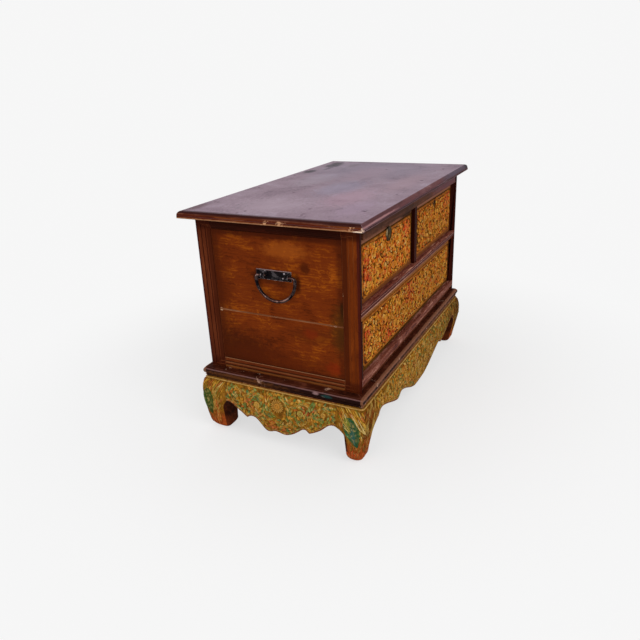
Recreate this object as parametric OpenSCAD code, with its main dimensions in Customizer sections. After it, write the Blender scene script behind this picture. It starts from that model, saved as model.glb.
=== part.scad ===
// Carved chest of drawers on a low scalloped stand.
// Origin: centre of the footprint, on the floor. X runs along the front,
// the drawers face -Y, Z is up. All sizes are in millimetres.

/* [Case] */
// Width of the case over the corner posts
case_w = 822; // [700:2:1000]
// Depth of the case over the corner posts
case_d = 457; // [420:1:560]
// Height of the case, from the stand to the underside of the top
case_h = 420; // [400:1:480]
// Thickness of the side boards
board_t = 18; // [14:1:20]
// Thickness of the back panel
back_t = 12; // [8:1:16]
// Thickness of the dust board and of the bottom board
shelf_t = 16; // [12:1:18]
// Height of the joint between the side boards, above the stand
joint_z = 172.5; // [150:0.5:180]

/* [Top board] */
// Thickness of the top
top_t = 18; // [16:1:26]
// Overhang of the top at both ends
top_end = 40; // [20:1:60]
// Overhang of the top at the front and the back
top_front = 26; // [15:1:40]
// Width of the bevel round the top
bevel_w = 12; // [8:1:16]
// Height of the lip under the bevel
lip_h = 7; // [5:1:9]
// Diameter of the pegs that hold the top
peg_d = 7; // [5:1:8]
// Depth of the pegs below the top board
peg_in = 14; // [8:1:20]
// Distance of the outer long-side pegs from the inner faces of the posts
peg_inset = 66; // [40:1:100]
// Distance of the pegs at the ends from the middle
peg_side = 78; // [50:1:120]

/* [Corner posts and side frames] */
// Width of a post across the front
post_x = 22; // [20:1:30]
// Depth of a post along the side
post_y = 47; // [44:1:60]
// Height of the rail above the side boards
side_rail_h = 30; // [24:1:40]
// Height of the rail below the side boards
foot_rail_h = 29; // [26:1:32]
// Thickness of that rail under its step
foot_rail_in = 40; // [34:1:44]
// Depth of the side boards behind the face of the frame
panel_in = 4; // [3:0.5:6]
// Width of the first step of the frame moulding
step_a = 15; // [8:1:16]
// Width of the second step of the frame moulding
step_b = 12; // [6:1:13]

/* [Front frame] */
// Depth of the drawer fronts behind the rails
front_in = 15; // [12:1:18]
// Height of the rail above the drawers
top_rail_h = 33; // [26:1:45]
// Height of the underside of the middle rail, above the stand
mid_rail_z = 192; // [180:1:215]
// Height of the middle rail
mid_rail_h = 30; // [24:1:36]
// Height of the bottom rail
low_rail_h = 40; // [36:1:48]
// Height of the set-back foot of the bottom rail
low_rail_foot = 20; // [14:1:24]
// Depth that the rails stand out in front of the posts
rail_out = 0.5; // [0:0.5:3]
// Width of the edge of each post that covers the ends of the rails
rail_end = 3; // [2:0.5:6]
// Width of the upright between the upper drawers
divider_w = 20; // [16:1:30]
// Depth of the upright behind the face of the posts
divider_in = 5; // [3:1:8]
// Height of the guide between the upper drawers
guide_h = 30; // [20:1:60]

/* [Drawers] */
// Running clearance round each drawer front
gap = 0.8; // [0.5:0.1:1.5]
// Clearance under the drawers
lift = 0.3; // [0.2:0.1:0.5]
// Thickness of the drawer fronts
front_t = 20; // [18:1:24]
// Thickness of the drawer sides and backs
wall_t = 12; // [8:1:14]
// Thickness of the drawer bottoms
floor_t = 6; // [4:1:8]
// Depth of the grooves that hold the drawer bottoms
groove = 5; // [3:0.5:6]
// Height of the drawer bottoms above the lower edge of the sides
floor_z = 8; // [6:1:12]
// Height that the sides stop below the upper edge of the front
side_drop = 12; // [8:1:20]
// Plain border beside the carved fields
edge_side = 15.2; // [12:0.2:24]
// Plain border above the upper carved fields
edge_top = 19.2; // [12:0.2:26]
// Plain border below the carved fields and above the lower one
edge_low = 12; // [10:0.5:20]
// Height of the carved fields over the border
field_t = 3; // [2:0.5:5]
// Corner radius of the carved fields
field_r = 16; // [8:1:24]
// Width of the flat rim round the carving
rim_w = 6; // [4:0.5:10]
// Depth of the carved ground inside the rim
sink = 1.2; // [0.6:0.2:2]

/* [Locks] */
// Width of a lock case
lock_w = 56; // [44:1:70]
// Height of a lock case
lock_h = 44; // [38:1:56]
// Thickness of a lock case
lock_t = 9; // [7:1:11]
// Width of the bolt
bolt_w = 16; // [10:1:24]
// Thickness of the bolt
bolt_t = 4.4; // [3:0.2:5]
// Length of the bolt
bolt_l = 24; // [18:1:30]
// Travel of the bolt
throw = 8; // [5:1:10]
// Clearance round the bolt
bolt_gap = 0.3; // [0.2:0.1:0.5]
// Distance from the upper edge of the front to the keyhole
key_z = 30; // [26:1:34]
// Diameter of the keyhole's round end
key_d = 6; // [5:0.5:8]
// Length of the keyhole's slot below its round end
key_l = 11; // [8:1:14]
// Diameter of the round escutcheon
plate_d = 38; // [30:1:44]
// Thickness of the escutcheon
plate_t = 1.6; // [1:0.2:2.4]

/* [Stand] */
// Height of the legs
leg_h = 168; // [150:1:190]
// Width of the square block at the top of a leg
block_w = 70; // [64:1:84]
// Width of the foot of a leg, along the front
foot_w = 54; // [44:1:60]
// Depth of the foot of a front leg, before its face draws back
foot_front = 46; // [44:1:60]
// Depth of the foot of a back leg
foot_back = 61; // [44:1:64]
// Height over which a leg narrows below its seams
leg_taper = 30; // [20:2:44]
// Radius of a leg's outer edge, at the top
leg_edge_top = 9; // [6:1:12]
// Radius of a leg's outer edge, at the foot
leg_edge_foot = 19; // [12:1:20]
// Radius of a leg's other edges, at the foot
leg_edge_in = 12; // [6:1:14]
// Height of the rounded underside of a foot
foot_r = 19; // [12:1:24]
// Width of the flat under a foot
foot_pad = 15; // [10:1:22]
// How far the knee swells out
knee = 14; // [8:1:20]
// How far the face of a front leg draws back at the foot
front_tuck = 16; // [0:1:20]
// Thickness of the aprons
apron_t = 22; // [18:1:26]
// Distance that the stand is wider than the case at each end
stand_end = 19; // [14:1:24]
// Distance that the stand is deeper than the case at front and back
stand_front = 8; // [6:1:12]
// Height of the ledge moulding
ledge_h = 27; // [22:1:34]
// Width of the strips of the ledge moulding
ledge_w = 56; // [48:1:64]
// Distance that the ledge stands out over the stand
ledge_out = 5.5; // [4:0.5:8]
// Height of the lowest point of the end aprons
end_low = 38; // [36:1:60]
// Height of the arches beside the legs, under the end aprons
end_arch = 108; // [100:1:120]
// Height of the lowest point of the long aprons
long_low = 38; // [36:1:64]
// Height of the arches beside the legs, under the long aprons
long_arch = 124; // [110:1:130]

/* [Handles] */
// Height of the handle's pivot above the stand
bail_z = 285; // [260:1:320]
// Distance of the handle in front of the middle of the side
handle_front = 5; // [0:1:10]
// Distance between the middles of the two eyes
eye_gap = 68; // [56:1:72]
// Diameter of an eye
eye_d = 15; // [13:0.5:18]
// Width of an eye along the pivot
eye_w = 9; // [7:0.5:12]
// Distance from the plate to the pivot
eye_out = 9; // [8:0.5:12]
// Diameter of the shank that is driven into the board
shank_d = 5; // [4:0.5:6]
// Depth of the shank in the board
shank_in = 12; // [8:1:13]
// Diameter of the bail's rod
rod_d = 8; // [6:0.5:9]
// Radial clearance of the bail in its eyes
pivot_gap = 0.3; // [0.2:0.05:0.5]
// Half the width of the bail, from rod centre to rod centre
bail_half = 55; // [50:1:64]
// Length of the straight stretch at the top of each side of the bail
bail_drop = 3; // [1:1:16]
// Length of the handle's backing plate
back_plate_l = 100; // [98:1:120]
// Height of the backing plate
back_plate_h = 26; // [22:1:34]
// Distance of the backing plate's middle behind the middle of the eyes
plate_back = 10; // [0:1:10]
// Thickness of the backing plate
back_plate_t = 2.5; // [2:0.5:4]

/* [Hidden] */

$fn = 48;

// Main planes of the case
W = case_w / 2;
D = case_d / 2;
base_z = leg_h + ledge_h;
top_z = base_z + case_h;

// Inner faces of the case
in_x = W - post_x;
in_y = D - post_y;
shelf_back = D - back_t;

// Levels of the front frame
low_z = base_z + low_rail_h;
mid_z = base_z + mid_rail_z;
up_z = mid_z + mid_rail_h;
head_z = top_z - top_rail_h;

// Drawer fronts: plane of the border and of the backs of the boards
face_y = -D + front_in;
rear_y = face_y + front_t;
// Depth of the rail noses, which lie over the posts in notches
nose = front_in - field_t;
// Middle of each upper drawer
key_x = (divider_w / 2 + in_x) / 2;

// Pivot of the bails
pivot_x = W - panel_in + back_plate_t + eye_out;
pivot_z = base_z + bail_z;
// Middles of the two eyes along the side
EYES = [for (s = [-1, 1]) s * eye_gap / 2 - handle_front];

// Outer faces of the stand
stand_x = W + stand_end;
stand_y = D + stand_front;
seam_x = stand_x - block_w;
seam_y = stand_y - block_w;

// Paint and timber, as the object shows them
RED_WOOD = [0.42, 0.20, 0.08];
DARK_WOOD = [0.22, 0.10, 0.08];
TOP_WOOD = [0.38, 0.25, 0.26];
OCHRE = [0.70, 0.45, 0.16];
GREEN_OCHRE = [0.60, 0.45, 0.18];
RAW_WOOD = [0.62, 0.47, 0.30];
IRON = [0.13, 0.12, 0.13];

// ---- Shared shapes ----

// A board between two opposite corners
module board(a, b) {
    translate(a) cube(b - a);
}

// A section drawn in (Y, Z), run along X from x0 to x1
module along_x(x0, x1) {
    translate([x0, 0, 0]) rotate([90, 0, 90]) linear_extrude(x1 - x0) children();
}

// A section drawn in (X, Z), run along Y from y0 to y1
module along_y(y0, y1) {
    translate([0, y1, 0]) rotate([90, 0, 0]) linear_extrude(y1 - y0) children();
}

// The same piece on the right, as its mirror image
module on_right() {
    mirror([1, 0, 0]) children();
}

// Points of a cubic curve through a to d, without its last point
function curve(a, b, c, d, n = 8) = [
    for (i = [0:n - 1]) let (t = i / n, s = 1 - t)
        s * s * s * a + 3 * s * s * t * b + 3 * s * t * t * c + t * t * t * d
];

// ---- Top ----

// Half of the top's edge, from its middle to the lip: a lip, a small step, a hollow bevel
module edge_section(half) {
    r = top_t - lip_h - 1.5;
    hollow = [for (a = [0:15:90])
        [half - 2 - (bevel_w - 2) * (1 - cos(a)), lip_h + 1.5 + r * sin(a)]];
    polygon(concat(
        [[-half, 0], [half - 1.5, 0], [half, 1.5], [half, lip_h - 1], [half - 1, lip_h],
         [half - 2, lip_h]],
        hollow,
        [[-half + bevel_w, top_t], [-half, top_t]]
    ));
}

// The edge section and its mirror image, as one symmetric outline
module top_section(half) {
    intersection() {
        edge_section(half);
        mirror([1, 0]) edge_section(half);
    }
}

// Centres of the pegs, in rows over the front rail, the back panel and the end rails
function peg_places() = concat(
    [for (x = [-1, -1 / 3, 1 / 3, 1], y = [-D + post_y / 2, D - back_t / 2])
        [x * (in_x - peg_inset), y]],
    [for (sx = [-1, 1], sy = [-1, 1]) [sx * (W - post_x / 2), sy * peg_side]]
);

module pegs(d) {
    for (p = peg_places())
        translate([p[0], p[1], top_z - peg_in]) cylinder(d = d, h = peg_in + top_t);
}

module top_board() {
    color(TOP_WOOD) difference() {
        intersection() {
            translate([0, 0, top_z]) along_x(-W - top_end, W + top_end)
                top_section(D + top_front);
            translate([0, 0, top_z]) along_y(-D - top_front, D + top_front)
                top_section(W + top_end);
        }
        pegs(peg_d);
    }
}

module top_pegs() {
    color(DARK_WOOD) pegs(peg_d);
}

// ---- Corner posts and side frames ----

// The stepped recess of a side frame, cut from every member that it crosses
module frame_steps() {
    first_y = in_y + 2.5;
    first_z = base_z + foot_rail_h;
    for (k = [0:2]) {
        grow = [0, step_a, step_a + step_b][k];
        drop = [0, foot_rail_h * 0.4, foot_rail_h * 0.72][k];
        board([-W - 1, -first_y - grow, first_z - drop],
            [-W + panel_in * (3 - k) / 3, first_y + grow, top_z - side_rail_h + grow / 3]);
    }
}

// Notches in the front posts, under the noses of the middle and bottom rails
module rail_notches() {
    board([-W + rail_end, -D - 1, mid_z], [W - rail_end, -D + nose, up_z]);
    board([-W + rail_end, -D - 1, base_z - 1], [W - rail_end, -D + nose, low_z]);
}

// Space that the front posts take from the ends of a rail behind its nose, from z0 to z1
module post_laps(z0, z1) {
    for (s = [0, 1]) mirror([s, 0, 0])
        board([in_x, -D + nose, z0 - 1], [W, 0, z1 + 1]);
}

module front_left_post() {
    color(RED_WOOD) difference() {
        board([-W, -D, base_z], [-in_x, -in_y, top_z]);
        frame_steps();
        rail_notches();
        // Chamfer beside the drawers
        translate([-in_x, -D, base_z - 1]) rotate([0, 0, 45])
            translate([-9, -9, 0]) cube([18, 18, case_h + 2]);
    }
}

module front_right_post() {
    on_right() front_left_post();
}

module back_left_post() {
    color(RED_WOOD) difference() {
        board([-W, in_y, base_z], [-in_x, D, top_z]);
        frame_steps();
        // Rounded outer corner
        translate([-W, D, base_z - 1]) difference() {
            translate([-1, -5, 0]) cube([6, 6, case_h + 2]);
            translate([5, -5, -1]) cylinder(r = 5, h = case_h + 4);
        }
    }
}

module back_right_post() {
    on_right() back_left_post();
}

// A side board with its long edges bevelled where the two boards meet
module side_board(z0, z1) {
    edge = 1.5;
    outer = -W + panel_in;
    along_y(-in_y, in_y) polygon([
        [outer + edge, z0], [outer + board_t, z0], [outer + board_t, z1], [outer + edge, z1],
        [outer, z1 - edge], [outer, z0 + edge]
    ]);
}

// Holes in the upper side board for the shanks of the handle's eyes
module shank_holes() {
    for (y = EYES)
        translate([-W + panel_in - 1, y, pivot_z]) rotate([0, 90, 0])
            cylinder(d = shank_d, h = shank_in + 1);
}

module left_upper_board() {
    color(RED_WOOD) difference() {
        side_board(base_z + joint_z, top_z - side_rail_h);
        // Groove for the dust board
        board([-in_x - groove, -in_y - 1, up_z - shelf_t], [0, in_y + 1, up_z]);
        shank_holes();
    }
}

module right_upper_board() {
    on_right() left_upper_board();
}

module left_lower_board() {
    color(RED_WOOD) side_board(base_z + foot_rail_h, base_z + joint_z);
}

module right_lower_board() {
    on_right() left_lower_board();
}

module left_top_rail() {
    color(DARK_WOOD) difference() {
        board([-W, -in_y, top_z - side_rail_h], [-in_x, in_y, top_z]);
        frame_steps();
        pegs(peg_d);
    }
}

module right_top_rail() {
    on_right() left_top_rail();
}

// The foot rail has a step inside, on which the bottom board lies
module left_foot_rail() {
    color(DARK_WOOD) difference() {
        board([-W, -in_y, base_z], [-W + foot_rail_in, in_y, base_z + foot_rail_h]);
        board([-in_x, -in_y - 1, low_z - shelf_t], [-W + foot_rail_in + 1, in_y + 1, top_z]);
        frame_steps();
    }
}

module right_foot_rail() {
    on_right() left_foot_rail();
}

module back_panel() {
    color(DARK_WOOD) difference() {
        board([-in_x, D - back_t, base_z], [in_x, D, top_z]);
        pegs(peg_d);
    }
}

module dust_board() {
    color(RAW_WOOD) {
        board([-in_x, -in_y, up_z - shelf_t], [in_x, shelf_back, up_z]);
        for (s = [-1, 1])
            translate([s * (in_x + groove / 2) - groove / 2, -in_y, up_z - shelf_t])
                cube([groove, 2 * in_y, shelf_t]);
    }
}

module bottom_board() {
    color(RAW_WOOD) board([-in_x, -in_y, low_z - shelf_t], [in_x, shelf_back, low_z]);
}

module centre_guide() {
    color(RAW_WOOD)
        board([-divider_w / 2, -in_y, up_z], [divider_w / 2, shelf_back, up_z + guide_h]);
}

// ---- Front frame ----

module front_top_rail() {
    color(DARK_WOOD) difference() {
        board([-in_x, -D, head_z], [in_x, -in_y, top_z]);
        pegs(peg_d);
        for (s = [-1, 1]) bolt_space(s * key_x, head_z - 1, throw + 3);
    }
}

// Two beads with a hollow between them, then a bevel back towards the drawer below
module mid_rail_section() {
    y = -D - rail_out;
    polygon(concat(
        [[-in_y, mid_z], [-in_y, up_z], [y + 2, up_z]],
        [for (a = [90:-30:-90]) [y + 2 - 2 * cos(a), up_z - 2.5 + 2.5 * sin(a)]],
        [[y + 3, up_z - 6], [y + 3, up_z - 8.5]],
        [for (a = [90:-30:-60]) [y + 2 - 2 * cos(a), up_z - 11.5 + 3 * sin(a)]],
        [[y + nose - 1, mid_z]]
    ));
}

module front_mid_rail() {
    color(DARK_WOOD) difference() {
        along_x(-W + rail_end, W - rail_end) mid_rail_section();
        post_laps(mid_z, up_z);
    }
}

// A bead above a set-back foot
module bottom_rail_section() {
    y = -D - rail_out;
    foot_top = base_z + low_rail_foot;
    polygon(concat(
        [[-in_y, base_z], [-in_y, low_z], [y + 2, low_z]],
        [for (a = [90:-30:0]) [y + 2 - 2 * cos(a), low_z - 2.5 + 2.5 * sin(a)]],
        [for (a = [0:-30:-90]) [y + 3 - 3 * cos(a), foot_top + 3 + 3 * sin(a)]],
        [[y + 9, foot_top], [y + 10, foot_top - 2], [y + 10, base_z]]
    ));
}

module front_bottom_rail() {
    color(DARK_WOOD) difference() {
        along_x(-W + rail_end, W - rail_end) bottom_rail_section();
        post_laps(base_z, low_z);
    }
}

module front_divider() {
    color(DARK_WOOD) board(
        [-divider_w / 2, -D + divider_in, up_z], [divider_w / 2, -in_y, head_z]);
}

// ---- Stand ----

// How far the stand's faces swell out at height z
function swell(z) = z >= leg_h ? 0 : knee * sin(180 * pow((leg_h - z) / leg_h, 0.62));

// 0 below a, 1 above b, with a soft start and end
function ease(a, b, z) = let (t = min(1, max(0, (z - a) / (b - a)))) t * t * (3 - 2 * t);

// Section of the ledge: a rounded nose above a hollow, with its tip at y = 0
module ledge_section() {
    polygon(concat(
        [[ledge_w, 0], [ledge_w, ledge_h], [5, ledge_h]],
        [for (a = [80:-20:-80])
            [7 - 7 * cos(a), ledge_h * 0.62 + ledge_h * 0.32 * sin(a)]],
        [for (a = [0:30:90]) [ledge_out + 2 - 2 * cos(a) - 2, ledge_h * 0.24 - 3 * sin(a)]],
        [[ledge_out, 2], [ledge_out, 0]]
    ));
}

// A strip of the ledge on the -Y side, mitred at both ends
module ledge_strip(half_x, half_y) {
    translate([0, 0, leg_h]) intersection() {
        translate([0, -half_y, 0]) along_x(-half_x, half_x) ledge_section();
        translate([0, 0, -1]) linear_extrude(ledge_h + 2) polygon([
            [-half_x, -half_y], [half_x, -half_y],
            [half_x - ledge_w, -half_y + ledge_w], [-half_x + ledge_w, -half_y + ledge_w]
        ]);
    }
}

module front_ledge() {
    color(DARK_WOOD) ledge_strip(stand_x + ledge_out, stand_y + ledge_out);
}

module back_ledge() {
    mirror([0, 1, 0]) front_ledge();
}

module left_ledge() {
    color(DARK_WOOD) rotate([0, 0, -90])
        ledge_strip(stand_y + ledge_out, stand_x + ledge_out);
}

module right_ledge() {
    on_right() left_ledge();
}

// Half of the lower edge of the end aprons, towards the front.
// Across: 0 in the middle, 1 at the leg. Up: 0 at the lowest point, 1 at the top of the arch.
END_FRONT = concat(
    curve([0, 0.02], [0.03, 0.0], [0.07, -0.01], [0.10, 0.005], 4),
    curve([0.10, 0.005], [0.20, 0.06], [0.27, 0.20], [0.33, 0.31]),
    curve([0.33, 0.31], [0.38, 0.41], [0.41, 0.49], [0.46, 0.50], 5),
    curve([0.46, 0.50], [0.49, 0.50], [0.50, 0.38], [0.535, 0.36], 5),
    curve([0.535, 0.36], [0.62, 0.44], [0.70, 0.56], [0.76, 0.67], 5),
    curve([0.76, 0.67], [0.83, 0.83], [0.89, 1], [0.97, 1]),
    [[0.97, 1], [1, 0.985]]
);

// The same towards the back, where the hand-cut scallops are a little wider
END_BACK = concat(
    curve([0, 0.02], [0.05, 0.05], [0.10, 0.10], [0.15, 0.035], 5),
    curve([0.15, 0.035], [0.19, -0.02], [0.25, -0.05], [0.29, 0.03], 6),
    curve([0.29, 0.03], [0.36, 0.19], [0.40, 0.46], [0.47, 0.53]),
    curve([0.47, 0.53], [0.53, 0.58], [0.57, 0.53], [0.62, 0.44], 5),
    curve([0.62, 0.44], [0.67, 0.50], [0.69, 0.60], [0.76, 0.70], 5),
    curve([0.76, 0.70], [0.83, 0.82], [0.89, 1], [0.97, 1]),
    [[0.97, 1], [1, 0.985]]
);

// Both halves of the long aprons' edge, which has one broad lobe
LONG_EDGE = concat(
    curve([0, 0], [0.04, 0], [0.08, 0], [0.12, 0.02], 4),
    curve([0.12, 0.02], [0.24, 0.14], [0.35, 0.45], [0.43, 0.56]),
    curve([0.43, 0.56], [0.47, 0.63], [0.51, 0.68], [0.53, 0.62], 5),
    curve([0.53, 0.62], [0.55, 0.54], [0.57, 0.48], [0.60, 0.51], 5),
    curve([0.60, 0.51], [0.70, 0.63], [0.83, 0.94], [0.92, 1]),
    curve([0.92, 1], [0.96, 1.02], [0.985, 0.93], [1, 0.84], 5),
    [[1, 0.84]]
);

// Height at which an apron with the given edge meets the legs
function seam_z(edge, low, arch) = low + edge[len(edge) - 1][1] * (arch - low);

// An apron on the -Y side: its scalloped outline, from the edge to the left of its middle
// and the one to the right, through its swelling section
module apron(half, face, left, right, low, arch) {
    outline = concat(
        [for (i = [len(left) - 1:-1:1]) [-left[i][0] * half, low + left[i][1] * (arch - low)]],
        [for (p = right) [p[0] * half, low + p[1] * (arch - low)]],
        [[half, leg_h], [-half, leg_h]]
    );
    steps = 16;
    section = concat(
        [for (i = [0:steps]) let (z = low - 2 + (leg_h - low + 2) * i / steps)
            [-face - swell(z), z]],
        [[-face + apron_t, leg_h], [-face + apron_t, low - 2]]
    );
    intersection() {
        along_y(-face - knee - 1, -face + apron_t + 1) polygon(outline);
        along_x(-half, half) polygon(section);
    }
}

module front_apron() {
    color(GREEN_OCHRE) apron(seam_x, stand_y, LONG_EDGE, LONG_EDGE, long_low, long_arch);
}

module back_apron() {
    mirror([0, 1, 0]) front_apron();
}

module left_apron() {
    color(GREEN_OCHRE) rotate([0, 0, -90])
        apron(seam_y, stand_x, END_BACK, END_FRONT, end_low, end_arch);
}

module right_apron() {
    on_right() left_apron();
}

// Height below which the legs narrow, under the seams with both aprons
low_seam = min(seam_z(LONG_EDGE, long_low, long_arch), seam_z(END_FRONT, end_low, end_arch),
    seam_z(END_BACK, end_low, end_arch));

// One level of a leg, a rounded rectangle from its inner faces to its swelling outer faces,
// of which the long side's face is drawn back by tuck at the foot. It stands in the corner
// x > 0, y > 0 of its own frame, whose origin is the outer corner of the stand's top.
function leg_ring(z, depth, tuck) =
    let (
        down = min(1, max(0, (low_seam - z) / leg_taper)),
        slim = down * (2 - down),
        lo = [for (w = [foot_w, depth]) -block_w + (block_w - w) * slim],
        hi = [swell(z), swell(z) - tuck * (1 - ease(0.15 * leg_h, 0.8 * leg_h, z))],
        under = z < foot_r ? sqrt(1 - pow(1 - z / foot_r, 2)) : 1,
        middle = (lo + hi) / 2,
        half = [for (w = hi - lo) foot_pad / 2 + (w / 2 - foot_pad / 2) * under],
        inner = 1 + (leg_edge_in - 1) * slim,
        outer = leg_edge_foot - (leg_edge_foot - leg_edge_top) * ease(low_seam - leg_taper, leg_h, z),
        radii = [outer, inner, inner, inner]
    )
    [for (q = [0:3], k = [0:4]) let (
            r = min(radii[q], half[0] - 0.5, half[1] - 0.5),
            a = 90 * q + 22.5 * k,
            sx = q == 0 || q == 3 ? 1 : -1,
            sy = q < 2 ? 1 : -1)
        [middle[0] + sx * (half[0] - r) + r * cos(a),
         middle[1] + sy * (half[1] - r) + r * sin(a), z]];

// A leg as a skin over its levels, close together in the rounded foot
module leg(depth, tuck = 0) {
    levels = concat(
        [for (a = [0:18:72]) foot_r * (1 - cos(a))],
        [for (i = [0:9]) foot_r + (low_seam - foot_r) * i / 10],
        [for (i = [0:6]) low_seam + (leg_h - low_seam) * i / 6]
    );
    rings = [for (z = levels) leg_ring(z, depth, tuck)];
    m = len(rings[0]);
    n = len(levels);
    polyhedron(
        points = [for (r = rings, p = r) p],
        faces = concat(
            [[for (i = [0:m - 1]) i]],
            [[for (i = [m - 1:-1:0]) (n - 1) * m + i]],
            [for (k = [0:n - 2], i = [0:m - 1]) let (a = k * m + i, b = k * m + (i + 1) % m)
                [a, a + m, b]],
            [for (k = [0:n - 2], i = [0:m - 1]) let (a = k * m + i, b = k * m + (i + 1) % m)
                [b, a + m, b + m]]
        )
    );
}

module back_right_leg() {
    color(OCHRE) translate([stand_x, stand_y, 0]) leg(foot_back);
}

module back_left_leg() {
    on_right() back_right_leg();
}

module front_right_leg() {
    color(OCHRE) mirror([0, 1, 0])
        translate([stand_x, stand_y, 0]) leg(foot_front, front_tuck);
}

module front_left_leg() {
    on_right() front_right_leg();
}

// ---- Drawers ----

// Levels of a drawer from the opening that it fills: its left, right, low and high sides
function drawer_box(x0, x1, z0, z1) = [x0 + gap, x1 - gap, z0 + lift, z1 - gap];
LEFT_BOX = drawer_box(-in_x, -divider_w / 2, up_z, head_z);
LOWER_BOX = drawer_box(-in_x, in_x, low_z, mid_z);

// Levels of the carved field on a drawer front
function field_of(box, top) =
    [box[0] + edge_side, box[1] - edge_side, box[2] + edge_low, box[3] - top];

// A rounded rectangle in the plane of the drawer fronts, from y0 to y1
module field_block(f, y0, y1, r) {
    along_y(y0, y1) {
        translate([f[0] + r, f[2]]) square([f[1] - f[0] - 2 * r, f[3] - f[2]]);
        translate([f[0], f[2] + r]) square([f[1] - f[0], f[3] - f[2] - 2 * r]);
        for (x = [f[0] + r, f[1] - r], z = [f[2] + r, f[3] - r])
            translate([x, z]) circle(r = r);
    }
}

// A drawer front with its raised field, whose carved ground is sunk inside a flat rim
module drawer_front(box, top) {
    f = field_of(box, top);
    inner = [f[0] + rim_w, f[1] - rim_w, f[2] + rim_w, f[3] - rim_w];
    difference() {
        union() {
            board([box[0], face_y, box[2]], [box[1], rear_y, box[3]]);
            field_block(f, face_y - field_t, face_y + 1, field_r);
        }
        field_block(inner, face_y - field_t - 1, face_y - field_t + sink, field_r - rim_w);
        // Groove for the bottom
        board([box[0] + wall_t - groove, rear_y - groove, box[2] + floor_z],
            [box[1] - wall_t + groove, rear_y + 1, box[2] + floor_z + floor_t]);
    }
}

// Depth of the drawer boxes, up to the back panel that stops them
box_back = shelf_back - 1;

// A drawer side from x on, with the groove for the bottom between g0 and g1
module drawer_side(box, x, g0, g1) {
    color(RAW_WOOD) difference() {
        board([x, rear_y, box[2]], [x + wall_t, box_back, box[3] - side_drop]);
        board([g0, rear_y - 1, box[2] + floor_z],
            [g1, box_back + 1, box[2] + floor_z + floor_t]);
    }
}

module left_side_of(box) {
    x = box[0];
    drawer_side(box, x, x + wall_t - groove, x + wall_t + 1);
}

module right_side_of(box) {
    x = box[1] - wall_t;
    drawer_side(box, x, x - 1, x + groove);
}

module drawer_back(box) {
    color(RAW_WOOD) board(
        [box[0] + wall_t, box_back - wall_t, box[2] + floor_z + floor_t],
        [box[1] - wall_t, box_back, box[3] - side_drop]);
}

module drawer_bottom(box) {
    color(RAW_WOOD) board(
        [box[0] + wall_t - groove, rear_y - groove, box[2] + floor_z],
        [box[1] - wall_t + groove, box_back, box[2] + floor_z + floor_t]);
}

// A keyhole through the front, centred at x
module keyhole(x, y0, y1) {
    z = head_z - gap - key_z;
    along_y(y0, y1) {
        translate([x, z]) circle(d = key_d);
        translate([x - key_d / 4, z - key_l]) square([key_d / 2, key_l]);
    }
}

// The recess of a lock, open to the back and the top of the front
module lock_space(x) {
    board([x - lock_w / 2, rear_y - lock_t, LEFT_BOX[3] - lock_h],
        [x + lock_w / 2, rear_y + 1, LEFT_BOX[3] + 1]);
}

// The way of a bolt, from z0 upwards
module bolt_space(x, z0, h) {
    translate([x - bolt_w / 2 - bolt_gap, rear_y - lock_t / 2 - bolt_t / 2 - bolt_gap, z0])
        cube([bolt_w + 2 * bolt_gap, bolt_t + 2 * bolt_gap, h + 1]);
}

module left_drawer_front() {
    color(OCHRE) difference() {
        drawer_front(LEFT_BOX, edge_top);
        lock_space(-key_x);
        keyhole(-key_x, face_y - field_t - 1, rear_y);
    }
}

module left_drawer_left_side() { left_side_of(LEFT_BOX); }
module left_drawer_right_side() { right_side_of(LEFT_BOX); }
module left_drawer_back() { drawer_back(LEFT_BOX); }
module left_drawer_bottom() { drawer_bottom(LEFT_BOX); }

module right_drawer_front() { on_right() left_drawer_front(); }
module right_drawer_left_side() { on_right() left_drawer_right_side(); }
module right_drawer_right_side() { on_right() left_drawer_left_side(); }
module right_drawer_back() { on_right() left_drawer_back(); }
module right_drawer_bottom() { on_right() left_drawer_bottom(); }

module lower_drawer_front() { color(OCHRE) drawer_front(LOWER_BOX, edge_low); }
module lower_drawer_left_side() { left_side_of(LOWER_BOX); }
module lower_drawer_right_side() { right_side_of(LOWER_BOX); }
module lower_drawer_back() { drawer_back(LOWER_BOX); }
module lower_drawer_bottom() { drawer_bottom(LOWER_BOX); }

// ---- Locks ----

module left_lock() {
    color(IRON) difference() {
        board([-key_x - lock_w / 2, rear_y - lock_t, LEFT_BOX[3] - lock_h],
            [-key_x + lock_w / 2, rear_y, LEFT_BOX[3]]);
        bolt_space(-key_x, LEFT_BOX[3] - bolt_l - 1.5, bolt_l + 2);
        keyhole(-key_x, rear_y - lock_t - 1, rear_y - 1.5);
    }
}

module left_bolt() {
    color(IRON) board(
        [-key_x - bolt_w / 2, rear_y - lock_t / 2 - bolt_t / 2, LEFT_BOX[3] - bolt_l - 1],
        [-key_x + bolt_w / 2, rear_y - lock_t / 2 + bolt_t / 2, LEFT_BOX[3] - 1]);
}

module right_lock() { on_right() left_lock(); }
module right_bolt() { on_right() left_bolt(); }

// A round dished plate with a raised rim and a keyhole
module escutcheon() {
    y = face_y - field_t;
    z = head_z - gap - key_z;
    color(IRON) difference() {
        translate([-key_x, y, z]) rotate([90, 0, 0]) rotate_extrude() polygon(concat(
            [[0, 0], [plate_d / 2, 0], [plate_d / 2, plate_t]],
            [for (a = [0:30:180]) [plate_d / 2 - 1.2 + 1.2 * cos(a), plate_t + 1 * sin(a)]],
            [[plate_d / 2 - 3, plate_t], [0, plate_t - 0.3]]
        ));
        keyhole(-key_x, y - 6, y + 1);
    }
}

// ---- Handles ----

plate_x = -W + panel_in - back_plate_t;

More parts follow.
